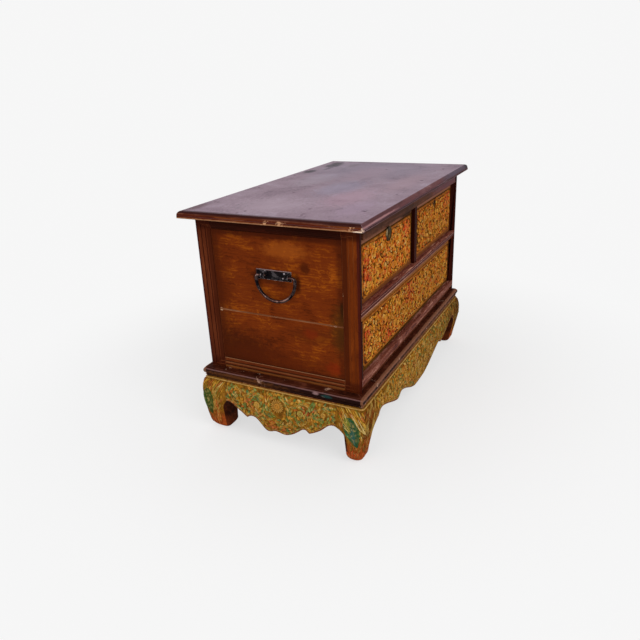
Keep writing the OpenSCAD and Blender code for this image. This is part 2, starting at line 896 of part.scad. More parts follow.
module left_handle_plate() {
    middle = plate_back - handle_front;
    color(IRON) difference() {
        board([plate_x, middle - back_plate_l / 2, pivot_z - back_plate_h / 2],
            [plate_x + back_plate_t, middle + back_plate_l / 2, pivot_z + back_plate_h / 2]);
        for (y = EYES)
            translate([plate_x - 1, y, pivot_z]) rotate([0, 90, 0])
                cylinder(d = shank_d, h = back_plate_t + 2);
    }
}

// Two eyes: a round ear with a bore for the bail, a neck, and a shank in the board
module left_handle_eyes() {
    color(IRON) for (y = EYES) translate([-pivot_x, y, pivot_z])
        difference() {
            union() {
                rotate([90, 0, 0]) cylinder(d = eye_d, h = eye_w, center = true);
                translate([0, -eye_w / 2, -eye_d * 0.35]) cube([eye_out, eye_w, eye_d * 0.7]);
                rotate([0, 90, 0]) cylinder(d = shank_d, h = eye_out + back_plate_t + shank_in);
            }
            rotate([90, 0, 0]) cylinder(d = rod_d + 2 * pivot_gap, h = eye_w + 2, center = true);
        }
}

// The bail hangs from two pins that point inwards through the eyes
module left_bail() {
    r = rod_d / 2;
    bend = 7;
    pin_in = eye_gap / 2 - eye_w / 2 - 3;
    color(IRON) translate([-pivot_x, -handle_front, pivot_z]) {
        for (s = [0, 1]) mirror([0, s, 0]) {
            translate([0, pin_in, 0]) rotate([-90, 0, 0])
                cylinder(r = r, h = bail_half - bend - pin_in);
            translate([0, bail_half - bend, -bend]) rotate([90, 0, 90])
                rotate_extrude(angle = 90) translate([bend, 0]) circle(r = r);
            translate([0, bail_half, -bend - bail_drop]) cylinder(r = r, h = bail_drop);
        }
        translate([0, 0, -bend - bail_drop]) rotate([90, 0, 90]) rotate([0, 0, 180])
            rotate_extrude(angle = 180) translate([bail_half, 0]) circle(r = r);
    }
}

module right_handle_plate() { on_right() left_handle_plate(); }
module right_handle_eyes() { on_right() left_handle_eyes(); }
module right_bail() { on_right() left_bail(); }

// ---- Assembly ----

top_board();
top_pegs();
front_left_post();
front_right_post();
back_left_post();
back_right_post();
left_upper_board();
left_lower_board();
right_upper_board();
right_lower_board();
left_top_rail();
right_top_rail();
left_foot_rail();
right_foot_rail();
back_panel();
dust_board();
bottom_board();
centre_guide();
front_top_rail();
front_mid_rail();
front_bottom_rail();
front_divider();
front_ledge();
back_ledge();
left_ledge();
right_ledge();
front_apron();
back_apron();
left_apron();
right_apron();
front_left_leg();
front_right_leg();
back_left_leg();
back_right_leg();
left_drawer_front();
left_drawer_left_side();
left_drawer_right_side();
left_drawer_back();
left_drawer_bottom();
right_drawer_front();
right_drawer_left_side();
right_drawer_right_side();
right_drawer_back();
right_drawer_bottom();
lower_drawer_front();
lower_drawer_left_side();
lower_drawer_right_side();
lower_drawer_back();
lower_drawer_bottom();
escutcheon();
left_lock();
left_bolt();
right_lock();
right_bolt();
left_handle_plate();
left_handle_eyes();
left_bail();
right_handle_plate();
right_handle_eyes();
right_bail();
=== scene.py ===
"""Looks of a carved chest of drawers on a painted, scalloped stand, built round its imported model."""

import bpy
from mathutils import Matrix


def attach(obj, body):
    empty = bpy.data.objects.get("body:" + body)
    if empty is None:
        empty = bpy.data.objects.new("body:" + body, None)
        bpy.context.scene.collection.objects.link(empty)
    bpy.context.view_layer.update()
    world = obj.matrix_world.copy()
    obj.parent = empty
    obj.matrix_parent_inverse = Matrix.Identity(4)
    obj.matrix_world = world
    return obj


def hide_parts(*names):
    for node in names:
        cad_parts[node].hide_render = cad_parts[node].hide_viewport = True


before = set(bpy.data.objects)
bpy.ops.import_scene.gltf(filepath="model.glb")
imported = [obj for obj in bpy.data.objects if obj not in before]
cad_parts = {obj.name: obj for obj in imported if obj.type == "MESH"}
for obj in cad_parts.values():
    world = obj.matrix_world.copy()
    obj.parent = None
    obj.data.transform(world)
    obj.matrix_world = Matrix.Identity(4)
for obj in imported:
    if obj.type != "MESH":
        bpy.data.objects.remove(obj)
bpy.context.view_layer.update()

import logging
import math
import random
from collections.abc import Callable, Iterable, Iterator, Sequence
from contextlib import contextmanager
from dataclasses import dataclass, field
from enum import Enum

import bmesh
import bpy
import numpy as np
from mathutils import Matrix, Vector

log = logging.getLogger("chest")
MM = 0.001
X, Y, Z = (1, 0, 0), (0, 1, 0), (0, 0, 1)
Pair = tuple[float, float]
Triple = tuple[float, float, float]
Box = tuple[float, float, float, float]
Piece = bpy.types.Object
Material = bpy.types.Material
Socket = bpy.types.NodeSocket
Array = np.ndarray
Rule = Callable[[Vector, Vector], int | None]
Palette = tuple[tuple[str, float], ...]


class Body(Enum):
    """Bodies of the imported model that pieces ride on."""

    CASE = "case"
    LEFT_DRAWER = "left_drawer"
    RIGHT_DRAWER = "right_drawer"
    LOWER_DRAWER = "lower_drawer"
    LEFT_BAIL = "left_handle_bail"
    RIGHT_BAIL = "right_handle_bail"


class Slot(Enum):
    """Material slots of the record."""

    TOP = "top_wood"
    SIDE = "side_wood"
    MOULDING = "dark_moulding"
    FRONT = "carved_front"
    APRON = "apron_paint"
    LEG = "leg_paint"
    IRON = "iron"


def paint(code: str) -> Box:
    """Returns the linear colour, with an alpha of 1, of one given as it looks, in six hex digits."""
    seen = [int(code[i : i + 2], 16) / 255 for i in (0, 2, 4)]
    red, green, blue = (c / 12.92 if c <= 0.04045 else ((c + 0.055) / 1.055) ** 2.4 for c in seen)
    return red, green, blue, 1.0


# Nodes


class Recipe:
    """Writes the nodes of one material or node group."""

    def __init__(self, tree: bpy.types.NodeTree) -> None:
        """Starts on an empty tree."""
        self.tree = tree
        tree.nodes.clear()

    def node(self, kind: str, inputs: dict[str | int, object] | None = None, **settings: object) -> bpy.types.Node:
        """Adds a node.

        Args:
            kind: Blender's name for the node type, without its ShaderNode prefix.
            inputs: an output socket, a value or a colour's hex digits for each named or numbered input.
            **settings: properties of the node.

        Returns:
            The node.
        """
        made = self.tree.nodes.new(kind if kind.startswith("NodeGroup") else "ShaderNode" + kind)
        for name, value in settings.items():
            setattr(made, name, value)
        for key, value in (inputs or {}).items():
            if isinstance(value, Socket):
                self.tree.links.new(value, made.inputs[key])
            else:
                made.inputs[key].default_value = paint(value) if isinstance(value, str) else value
        return made

    def math(self, operation: str, *values: object, clamp: bool = False) -> Socket:
        """Returns the result of a Math node on the given values."""
        return self.node("Math", dict(enumerate(values)), operation=operation, use_clamp=clamp).outputs[0]

    def times(self, a: object, b: object) -> Socket:
        """Returns a times b."""
        return self.math("MULTIPLY", a, b)

    def weigh(self, a: object, share_a: float, b: object, share_b: float) -> Socket:
        """Returns the sum of a and b, each times its share."""
        return self.math("MULTIPLY_ADD", a, share_a, self.times(b, share_b))

    def vector(self, operation: str, *values: object) -> Socket:
        """Returns the result of a Vector Math node on the given values."""
        made = self.node("VectorMath", dict(enumerate(values)), operation=operation)
        return made.outputs["Value" if operation in ("LENGTH", "DOT_PRODUCT") else "Vector"]

    def mix(self, factor: object, a: object, b: object) -> Socket:
        """Returns colour a turned into colour b by factor."""
        return self.node("Mix", {0: factor, 6: a, 7: b}, data_type="RGBA").outputs[2]

    def span(self, value: object, low: object, high: object, start: float = 0.0, end: float = 1.0) -> Socket:
        """Returns value eased from start at low to end at high."""
        made = self.node("MapRange", {0: value, 1: low, 2: high, 3: start, 4: end}, interpolation_type="SMOOTHSTEP")
        return made.outputs[0]

    def noise(self, at: object, scale: object, detail: float = 3.0, rough: float = 0.5, swirl: float = 0.0) -> Socket:
        """Returns a noise value at a place, with the given scale, detail, roughness and distortion."""
        settings = {"Vector": at, "Scale": scale, "Detail": detail, "Roughness": rough, "Distortion": swirl}
        return self.node("TexNoise", settings).outputs[0]

    def place(self) -> Socket:
        """Returns the piece's own coordinates, in metres."""
        return self.node("TexCoord").outputs["Object"]

    def use(self, group: bpy.types.NodeTree, **inputs: object) -> bpy.types.bpy_prop_collection:
        """Places a shared effect, with its inputs by name, and returns what it puts out."""
        return self.node("Group", inputs, node_tree=group).outputs

    def surface(self, colour: Socket, roughness: Socket, height: Socket, depth: float, shine: float) -> None:
        """Ends a material with its shader.

        Args:
            colour: the base colour.
            roughness: the roughness.
            height: a height from 0 to 1 for the bump.
            depth: what a height of 1 stands for, in metres.
            shine: the strength of reflections.
        """
        bump = self.node("Bump", {"Strength": 1.0, "Distance": depth, "Height": height}).outputs[0]
        shader = self.node("BsdfPrincipled", {"Base Color": colour, "Roughness": roughness, "Normal": bump,
                                              "Specular IOR Level": shine})
        self.node("OutputMaterial", {"Surface": shader.outputs[0]})


class Effects:
    """The effects that several materials share, each a node group that is built once."""

    def __init__(self) -> None:
        """Builds the groups."""
        self.grain, self.band, self.spot = self._grain(), self._band(), self._spot()
        self.chips, self.grime = self._chips(), self._grime()

    @staticmethod
    def _start(name: str, vectors: Sequence[str], floats: Sequence[str]) -> tuple[Recipe, list[Socket]]:
        """Starts a node group, and returns its recipe and its incoming vectors and numbers.

        Args:
            name: its name.
            vectors: the names of its vectors.
            floats: the names of its numbers.

        Returns:
            The recipe, and the sockets in that order.
        """
        tree = bpy.data.node_groups.new(name, "ShaderNodeTree")
        for kind, names in (("Vector", vectors), ("Float", floats)):
            for socket in names:
                tree.interface.new_socket(name=socket, in_out="INPUT", socket_type="NodeSocket" + kind)
        recipe = Recipe(tree)
        return recipe, recipe.node("NodeGroupInput").outputs[: len(vectors) + len(floats)]

    @staticmethod
    def _end(recipe: Recipe, **results: Socket) -> bpy.types.NodeTree:
        """Ends a node group with what it puts out, by name."""
        for name in results:
            recipe.tree.interface.new_socket(name=name, in_out="OUTPUT", socket_type="NodeSocketFloat")
        recipe.node("NodeGroupOutput", results)
        return recipe.tree

    def _grain(self) -> bpy.types.NodeTree:
        """Wood grain: long streaks, fine open pores and slow clouds.

        Returns:
            The group.
        """
        recipe, (at, stretch, scale) = self._start("wood_grain", ("Vector", "Stretch"), ("Scale",))
        clouds = recipe.noise(at, recipe.times(scale, 0.06), 4, 0.6, 0.4)
        thrice = recipe.node("CombineXYZ", {0: clouds, 1: clouds, 2: clouds}).outputs[0]
        drift = recipe.node("VectorMath", {0: thrice, "Scale": 0.035}, operation="SCALE").outputs[0]
        along = recipe.vector("MULTIPLY", recipe.vector("ADD", at, drift), stretch)
        streaks = recipe.noise(along, scale, 6, 0.62, 0.25)
        fine = recipe.noise(along, recipe.times(scale, 7.0), 2, 0.6)
        return self._end(recipe, Streaks=streaks, Pores=recipe.span(fine, 0.56, 0.72), Clouds=clouds)

    def _band(self) -> bpy.types.NodeTree:
        """A zone between two planes, the same on both sides of the middle, with a soft and ragged border.

        Returns:
            The group.
        """
        recipe, (at, axis, low, high, soft, ragged) = self._start(
            "band", ("Vector", "Axis"), ("Low", "High", "Soft", "Ragged"))
        level = recipe.vector("DOT_PRODUCT", recipe.vector("ABSOLUTE", at), axis)
        noise = recipe.math("SUBTRACT", recipe.noise(at, 45.0, 4, 0.65), 0.5)
        level = recipe.math("MULTIPLY_ADD", noise, recipe.times(ragged, soft), level)
        rise = recipe.span(level, recipe.math("SUBTRACT", low, soft), low)
        fall = recipe.span(level, high, recipe.math("ADD", high, soft), 1.0, 0.0)
        return self._end(recipe, Mask=recipe.times(rise, fall))

    def _spot(self) -> bpy.types.NodeTree:
        """A spot of a given size round a point, with a ragged border, for stains and for painted shadows, highlights
        and sheen.
        """
        recipe, (at, centre, size, ragged) = self._start("spot", ("Vector", "Centre", "Size"), ("Ragged",))
        far = recipe.vector("LENGTH", recipe.vector("DIVIDE", recipe.vector("SUBTRACT", at, centre), size))
        noise = recipe.math("SUBTRACT", recipe.noise(at, 90.0, 4, 0.7), 0.5)
        return self._end(recipe, Mask=recipe.span(recipe.math("MULTIPLY_ADD", noise, ragged, far), 0.35, 1.0, 1.0, 0.0))

    def _chips(self) -> bpy.types.NodeTree:
        """Places where paint or stain has gone: small chips in loose groups.

        Returns:
            The group.
        """
        recipe, (at, scale, amount) = self._start("chips", ("Vector",), ("Scale", "Amount"))
        groups = recipe.noise(at, recipe.times(scale, 0.16), 2, 0.5)
        both = recipe.weigh(groups, 0.55, recipe.noise(at, scale, 5, 0.7, 0.4), 0.45)
        edge = recipe.math("MULTIPLY_ADD", amount, -0.36, 0.68)
        return self._end(recipe, Mask=recipe.span(both, edge, recipe.math("ADD", edge, 0.035)))

    def _grime(self) -> bpy.types.NodeTree:
        """Soft dirt in uneven patches."""
        recipe, (at, scale, amount) = self._start("grime", ("Vector",), ("Scale", "Amount"))
        patches = recipe.span(recipe.noise(at, scale, 6, 0.6, 0.8), 0.4, 0.75)
        return self._end(recipe, Mask=recipe.times(patches, amount))


# Kinds of finish


@dataclass(frozen=True)
class Band:
    """A zone of a finish between two planes, such as the painted shade beside a moulding."""

    axis: Triple
    low: float
    high: float
    soft: float
    colour: str
    strength: float = 1.0
    ragged: float = 1.0


@dataclass(frozen=True)
class Spot:
    """A spot round a point. Some are stains; others are painted shadows, highlights and sheen."""

    centre: Triple
    size: Triple
    colour: str
    strength: float = 1.0
    ragged: float = 0.8


@dataclass(frozen=True)
class Finish:
    """A finish, with its zones and its spots, some of which are painted shade, shadows, highlights and sheen. Each kind
    writes its own nodes.
    """

    name: str
    bands: tuple[Band, ...] = field(default=(), kw_only=True)
    stains: tuple[Spot, ...] = field(default=(), kw_only=True)

    def write(self, recipe: Recipe, effects: Effects, at: Socket) -> None:
        """Writes the nodes of the finish at the given coordinates."""
        raise NotImplementedError

    def material(self, effects: Effects) -> Material:
        """Returns the finish as a material.

        Args:
            effects: the shared effects.

        Returns:
            The material.
        """
        made = bpy.data.materials.new(self.name)
        made.use_nodes = True
        recipe = Recipe(made.node_tree)
        self.write(recipe, effects, recipe.place())
        return made

    def over(self, recipe: Recipe, effects: Effects, at: Socket, colour: Socket) -> Socket:
        """Lays the zones, then the spots, over a colour.

        Args:
            recipe: the material being written.
            effects: the shared effects.
            at: the coordinates.
            colour: the colour below.

        Returns:
            The colour with all of them.
        """
        masks = [recipe.use(effects.band, Vector=at, Axis=band.axis, Low=band.low, High=band.high, Soft=band.soft,
                            Ragged=band.ragged)[0] for band in self.bands]
        masks += [recipe.use(effects.spot, Vector=at, Centre=stain.centre, Size=stain.size, Ragged=stain.ragged)[0]
                  for stain in self.stains]
        for mask, mark in zip(masks, self.bands + self.stains):
            colour = recipe.mix(recipe.times(mask, mark.strength), colour, mark.colour)
        return colour


@dataclass(frozen=True)
class WoodFinish(Finish):
    """Stained and polished wood, with its grain and worn places."""

    dark: str
    middle: str
    light: str
    along: Triple
    scale: float
    blotch: float = 0.5
    rough: Pair = (0.5, 0.66)
    shine: float = 0.02
    bare: str = "b98a63"
    worn: float = 0.0

    def write(self, recipe: Recipe, effects: Effects, at: Socket) -> None:
        """Writes the nodes.

        Args:
            recipe: the material being written.
            effects: the shared effects.
            at: the coordinates.
        """
        streaks, pores, clouds = recipe.use(effects.grain, Vector=at, Stretch=self.along, Scale=self.scale)
        tone = recipe.weigh(clouds, self.blotch, streaks, 1 - self.blotch)
        colour = recipe.mix(recipe.span(tone, 0.34, 0.5), self.dark, self.middle)
        colour = recipe.mix(recipe.span(tone, 0.5, 0.66), colour, self.light)
        colour = recipe.mix(recipe.times(pores, 0.35), colour, self.dark)
        colour = self.over(recipe, effects, at, colour)
        roughness = recipe.span(streaks, 0.3, 0.7, *self.rough)
        height = recipe.weigh(streaks, 0.6, pores, -0.3)
        if self.worn:
            chips = recipe.use(effects.chips, Vector=at, Scale=160.0, Amount=self.worn)[0]
            colour = recipe.mix(chips, colour, self.bare)
            roughness = recipe.math("MULTIPLY_ADD", chips, 0.25, roughness)
            height = recipe.math("MULTIPLY_ADD", chips, -0.6, height)
        recipe.surface(colour, roughness, height, 0.0003, self.shine)


@dataclass(frozen=True)
class PaintFinish(Finish):
    """Old thick paint on plain wood, in patches of several colours, with dirt in the low places."""

    colours: tuple[str, str, str]
    dirty: float = 0.5
    worn: float = 0.05
    bare: str = "c08a5e"

    def write(self, recipe: Recipe, effects: Effects, at: Socket) -> None:
        """Writes the nodes.

        Args:
            recipe: the material being written.
            effects: the shared effects.
            at: the coordinates.
        """
        patches = recipe.noise(at, 60.0, 4, 0.6, 0.6)
        colour = recipe.mix(recipe.span(patches, 0.38, 0.48), *self.colours[:2])
        colour = recipe.mix(recipe.span(patches, 0.52, 0.6), colour, self.colours[2])
        colour = self.over(recipe, effects, at, colour)
        chips = recipe.use(effects.chips, Vector=at, Scale=240.0, Amount=self.worn)[0]
        colour = recipe.mix(recipe.times(chips, 0.8), colour, self.bare)
        grime = recipe.use(effects.grime, Vector=at, Scale=150.0, Amount=self.dirty)[0]
        colour = recipe.mix(grime, colour, "2c1708")
        fine = recipe.noise(at, 420.0, 4, 0.65)
        height = recipe.weigh(patches, 0.5, fine, 0.5)
        recipe.surface(colour, recipe.span(fine, 0.3, 0.7, 0.55, 0.75), height, 0.0006, 0.02)


@dataclass(frozen=True)
class CarvedFinish(Finish):
    """Painted carving. Each carved element has its own colour, rubbed light on the ridges and dark at its foot."""

    dark_tone: str = "4a2408"
    rubbed: str = "e6b862"

    def write(self, recipe: Recipe, effects: Effects, at: Socket) -> None:
        """Writes the nodes.

        Args:
            recipe: the material being written.
            effects: the shared effects.
            at: the coordinates.
        """
        own = recipe.node("Attribute", attribute_name="paint").outputs["Color"]
        relief = recipe.node("Attribute", attribute_name="relief").outputs["Fac"]
        fine = recipe.noise(at, 520.0, 4, 0.65)
        colour = recipe.mix(recipe.span(fine, 0.35, 0.65, 0.0, 0.3), own, self.dark_tone)
        high = recipe.times(recipe.span(relief, 0.6, 1.0), recipe.span(recipe.noise(at, 130.0), 0.42, 0.62))
        colour = recipe.mix(recipe.times(high, 0.3), colour, self.rubbed)
        # Darker toward the foot of each element, by its relief.
        colour = recipe.mix(recipe.span(relief, 0.05, 0.55, 0.8, 0.0), colour, self.dark_tone)
        colour = self.over(recipe, effects, at, colour)
        grime = recipe.use(effects.grime, Vector=at, Scale=70.0, Amount=0.45)[0]
        colour = recipe.mix(grime, colour, self.dark_tone)
        recipe.surface(colour, recipe.span(fine, 0.3, 0.7, 0.5, 0.7), fine, 0.0003, 0.03)


@dataclass(frozen=True)
class IronFinish(Finish):
    """Black forged iron, with rust in patches and rubbed places."""

    black: str
    rust: str
    rubbed: str
    worn: float = 0.42

    def write(self, recipe: Recipe, effects: Effects, at: Socket) -> None:
        """Writes the nodes.

        Args:
            recipe: the material being written.
            effects: the shared effects.
            at: the coordinates.
        """
        patches = recipe.noise(at, 130.0, 5, 0.65, 0.5)
        colour = recipe.mix(recipe.span(patches, 0.5, 0.68), self.black, self.rust)
        colour = self.over(recipe, effects, at, colour)
        chips = recipe.use(effects.chips, Vector=at, Scale=330.0, Amount=self.worn)[0]
        colour = recipe.mix(recipe.times(chips, 0.7), colour, self.rubbed)
        height = recipe.weigh(patches, 0.7, recipe.noise(at, 700.0, 3, 0.6), 0.3)
        recipe.surface(colour, recipe.span(patches, 0.35, 0.65, 0.42, 0.7), height, 0.0009, 0.03)


# Modelling steps that several pieces share


def only(piece: Piece) -> None:
    """Selects one object alone and makes it the active one."""
    bpy.ops.object.select_all(action="DESELECT")
    piece.select_set(True)
    bpy.context.view_layer.objects.active = piece


@contextmanager
def editing(piece: Piece) -> Iterator[None]:
    """Opens one object alone in edit mode, all selected, and closes it at the end.

    Args:
        piece: the piece.

    Returns:
        A context in which the object is in edit mode.
    """
    only(piece)
    bpy.ops.object.mode_set(mode="EDIT")
    bpy.ops.mesh.select_all(action="SELECT")
    yield
    bpy.ops.object.mode_set(mode="OBJECT")


def pick(piece: Piece, kind: str, test: Callable[[bmesh.types.BMVert | bmesh.types.BMEdge], bool]) -> None:
    """Selects, in edit mode, the vertices or the edges that a test lets through.

    Args:
        piece: the piece.
        kind: VERT or EDGE.
        test: the test.
    """
    bpy.ops.mesh.select_mode(type=kind)
    bpy.ops.mesh.select_all(action="DESELECT")
    mesh = bmesh.from_edit_mesh(piece.data)
    for part in mesh.verts if kind == "VERT" else mesh.edges:
        part.select = test(part)
    mesh.select_flush_mode()
    bmesh.update_edit_mesh(piece.data)


def modify(piece: Piece, kind: str, **settings: object) -> None:
    """Adds a modifier to a piece and applies it.

    Args:
        piece: the piece.
        kind: the kind of modifier.
        **settings: its settings.
    """
    only(piece)
    bpy.ops.object.modifier_add(type=kind)
    for name, value in settings.items():
        setattr(piece.modifiers[-1], name, value)
    bpy.ops.object.modifier_apply(modifier=piece.modifiers[-1].name)


def add(name: str, mesh: bpy.types.Mesh) -> Piece:
    """Adds a piece with a mesh to the scene."""
    mesh.name = name
    piece = bpy.data.objects.new(name, mesh)
    bpy.context.scene.collection.objects.link(piece)
    return piece


def copy_of(node: str, ending: str, *materials: Material) -> Piece:
    """Makes a merged copy of a CAD node's mesh, in place, in flat faces as large as they can be.

    Args:
        node: the node.
        ending: what the copy's name adds to the node's name.
        *materials: the copy's materials, in the order of its slots.

    Returns:
        The copy.
    """
    piece = add(node + ending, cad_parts[node].data.copy())
    with editing(piece):
        bpy.ops.mesh.remove_doubles(threshold=1e-5)
        bpy.ops.mesh.dissolve_limited(angle_limit=math.radians(0.6))
        bpy.ops.mesh.select_all(action="SELECT")
        bpy.ops.mesh.normals_make_consistent(inside=False)
    dress(piece, *materials)
    return piece


def smooth(piece: Piece, angle: float) -> None:
    """Shades a piece smooth up to an angle in degrees, with its flat faces kept flat."""
    only(piece)
    bpy.ops.object.shade_smooth_by_angle(angle=math.radians(angle))
    modify(piece, "WEIGHTED_NORMAL", keep_sharp=True)


def soften(piece: Piece, width: float, shortest: float = 0.004) -> None:
    """Rounds a piece's outward edges, as hands and years do, in its second material.

    Args:
        piece: the piece.
        width: the width taken off each edge, in metres.
        shortest: edges shorter than this stay sharp.
    """
    sharp = math.radians(34)
    with editing(piece):
        pick(piece, "EDGE", lambda edge: edge.is_manifold and edge.is_convex and edge.calc_face_angle() > sharp
             and edge.calc_length() > shortest)
        bpy.ops.mesh.bevel(offset=width, segments=2, profile=0.55, material=1, clamp_overlap=False)
    smooth(piece, 32)


def dress(piece: Piece, *materials: Material) -> None:
    """Gives a piece its materials, in the order of its slots."""
    piece.data.materials.clear()
    for material in materials:
        piece.data.materials.append(material)


def sort_faces(piece: Piece, rule: Rule) -> None:
    """Sets the slot of each face by a rule on its middle and its normal, where the rule gives one."""
    for face in piece.data.polygons:
        slot = rule(face.center, face.normal)
        if slot is not None:
            face.material_index = slot


def mount(piece: Piece, body: Body, slot: Slot, *nodes: str) -> None:
    """Lets a piece ride on its body, and puts it in the place of CAD nodes.

    Args:
        piece: the piece.
        body: its body.
        slot: its slot; not used.
        *nodes: the nodes that it stands for.
    """
    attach(piece, body.value)
    if nodes:
        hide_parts(*nodes)
    log.info("%s: %d faces on %s", piece.name, len(piece.data.polygons), body.value)


def dress_nodes(material: Material, *nodes: str) -> None:
    """Gives CAD nodes that stay in view their material.

    Args:
        material: the material.
        *nodes: the nodes.
    """
    for node in nodes:
        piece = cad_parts[node]
        if not piece.material_slots:
            piece.data.materials.append(material)
        for slot in piece.material_slots:
            slot.material = material


# Carved elements


@dataclass(frozen=True)
class Motif:
    """A carved element at unit size: it grows along +Y from 0 to 1, and its relief is along +Z."""

    points: Array
    faces: list[tuple[int, ...]]
    rim: Array


class Chisel:
    """Models the few elements that all the carving is made of."""

    def __init__(self) -> None:
        """Cuts each element once."""
        self.leaf = self._leaf([0.3, 0.85, 1.0, 0.8, 0.42, 0.06], [0.55, 0.85, 1.0, 0.95, 0.8, 0.5], 0.38)
        self.hollow = self._leaf([0.35, 0.9, 1.0, 0.85, 0.5, 0.1], [0.5, 0.5, 0.52, 0.55, 0.6, 0.6], 0.98)
        self.petal = self._leaf([0.25, 0.6, 0.85, 1.0, 0.85, 0.35], [0.4, 0.6, 0.85, 1.0, 0.95, 0.6], 0.45)
        self.berry = self._berry()
        self.knee_leaf = self._leaf(
            [0.25, 0.62, 0.8, 0.98, 0.92, 1.0, 0.86, 0.88, 0.66, 0.6, 0.36, 0.26, 0.05],
            [0.7, 0.9, 0.8, 1.0, 0.85, 1.0, 0.85, 0.95, 0.8, 0.85, 0.7, 0.65, 0.4], 0.72, 6)

    @staticmethod
    def _read(piece: Piece, rim_from: float) -> Motif:
        """Reads a modelled element and puts the model away.

        Args:
            piece: the model.
            rim_from: the share of the half width from which a point belongs to the rim.

        Returns:
            The element.
        """
        mesh = piece.data
        points = np.array([v.co for v in mesh.vertices], float)
        faces = [tuple(p.vertices) for p in mesh.polygons]
        rows = np.round(points[:, 1], 3)
        rim = np.zeros(len(points))
        for row in set(rows):
            here = rows == row
            widest = max(float(np.abs(points[here, 0]).max()), 1e-6)
            rim[here] = (np.abs(points[here, 0]) >= rim_from * widest).astype(float)
        bpy.data.objects.remove(piece)
        bpy.data.meshes.remove(mesh)
        return Motif(points, faces, rim)

    @staticmethod
    def _leaf(widths: Sequence[float], ridge: Sequence[float], margin: float, across: int = 2) -> Motif:
        """Models a leaf from a grid: its rows are drawn in, its middle raised, its border turned down and closed.

        Args:
            widths: the width of each row, from the foot to the tip.
            ridge: the height of the middle of each row.
            margin: the height of the border.
            across: the number of faces across the leaf.

        Returns:
            The leaf.
        """
        rows = len(widths)
        bpy.ops.object.select_all(action="DESELECT")
        bpy.ops.mesh.primitive_grid_add(x_subdivisions=across, y_subdivisions=rows - 1, size=1, location=(0, 0, 0))
        piece = bpy.context.view_layer.objects.active
        with editing(piece):
            for i, (width, top) in enumerate(zip(widths, ridge)):
                level = i / (rows - 1) - 0.5
                pick(piece, "VERT", lambda v: abs(v.co.y - level) < 1e-3)
                bpy.ops.transform.resize(value=(width, 1, 1), center_override=(0, level, 0))
                bpy.ops.transform.translate(value=(0, 0, margin))
                pick(piece, "VERT", lambda v: abs(v.co.y - level) < 1e-3 and abs(v.co.x) < 0.26 * width)
                bpy.ops.transform.translate(value=(0, 0, top - margin))
            bpy.ops.mesh.select_all(action="SELECT")
            bpy.ops.transform.translate(value=(0, 0.5, 0))
            bpy.ops.mesh.region_to_loop()
            bpy.ops.mesh.extrude_region_move(TRANSFORM_OT_translate={"value": (0, 0, -margin - 0.35)})
            pick(piece, "VERT", lambda v: v.co.z < 0.0)
            bpy.ops.mesh.edge_face_add()
            bpy.ops.mesh.select_all(action="SELECT")
            bpy.ops.mesh.normals_make_consistent(inside=False)
        return Chisel._read(piece, 0.9)

    @staticmethod
    def _berry() -> Motif:
        """Models a round berry: a ball cut off below the ground.

        Returns:
            The berry.
        """
        bpy.ops.object.select_all(action="DESELECT")
        bpy.ops.mesh.primitive_uv_sphere_add(segments=8, ring_count=6, radius=0.5, location=(0, 0.5, 0))
        piece = bpy.context.view_layer.objects.active
        bpy.ops.object.transform_apply(location=True, rotation=False, scale=False)
        with editing(piece):
            bpy.ops.mesh.bisect(plane_co=(0, 0.5, -0.1), plane_no=(0, 0, 1), clear_inner=True, use_fill=True)
            bpy.ops.mesh.select_all(action="SELECT")
            bpy.ops.transform.resize(value=(1, 1, 2), center_override=(0, 0.5, 0))
            bpy.ops.mesh.normals_make_consistent(inside=False)
        return Chisel._read(piece, 2.0)


# Surfaces that carving lies on


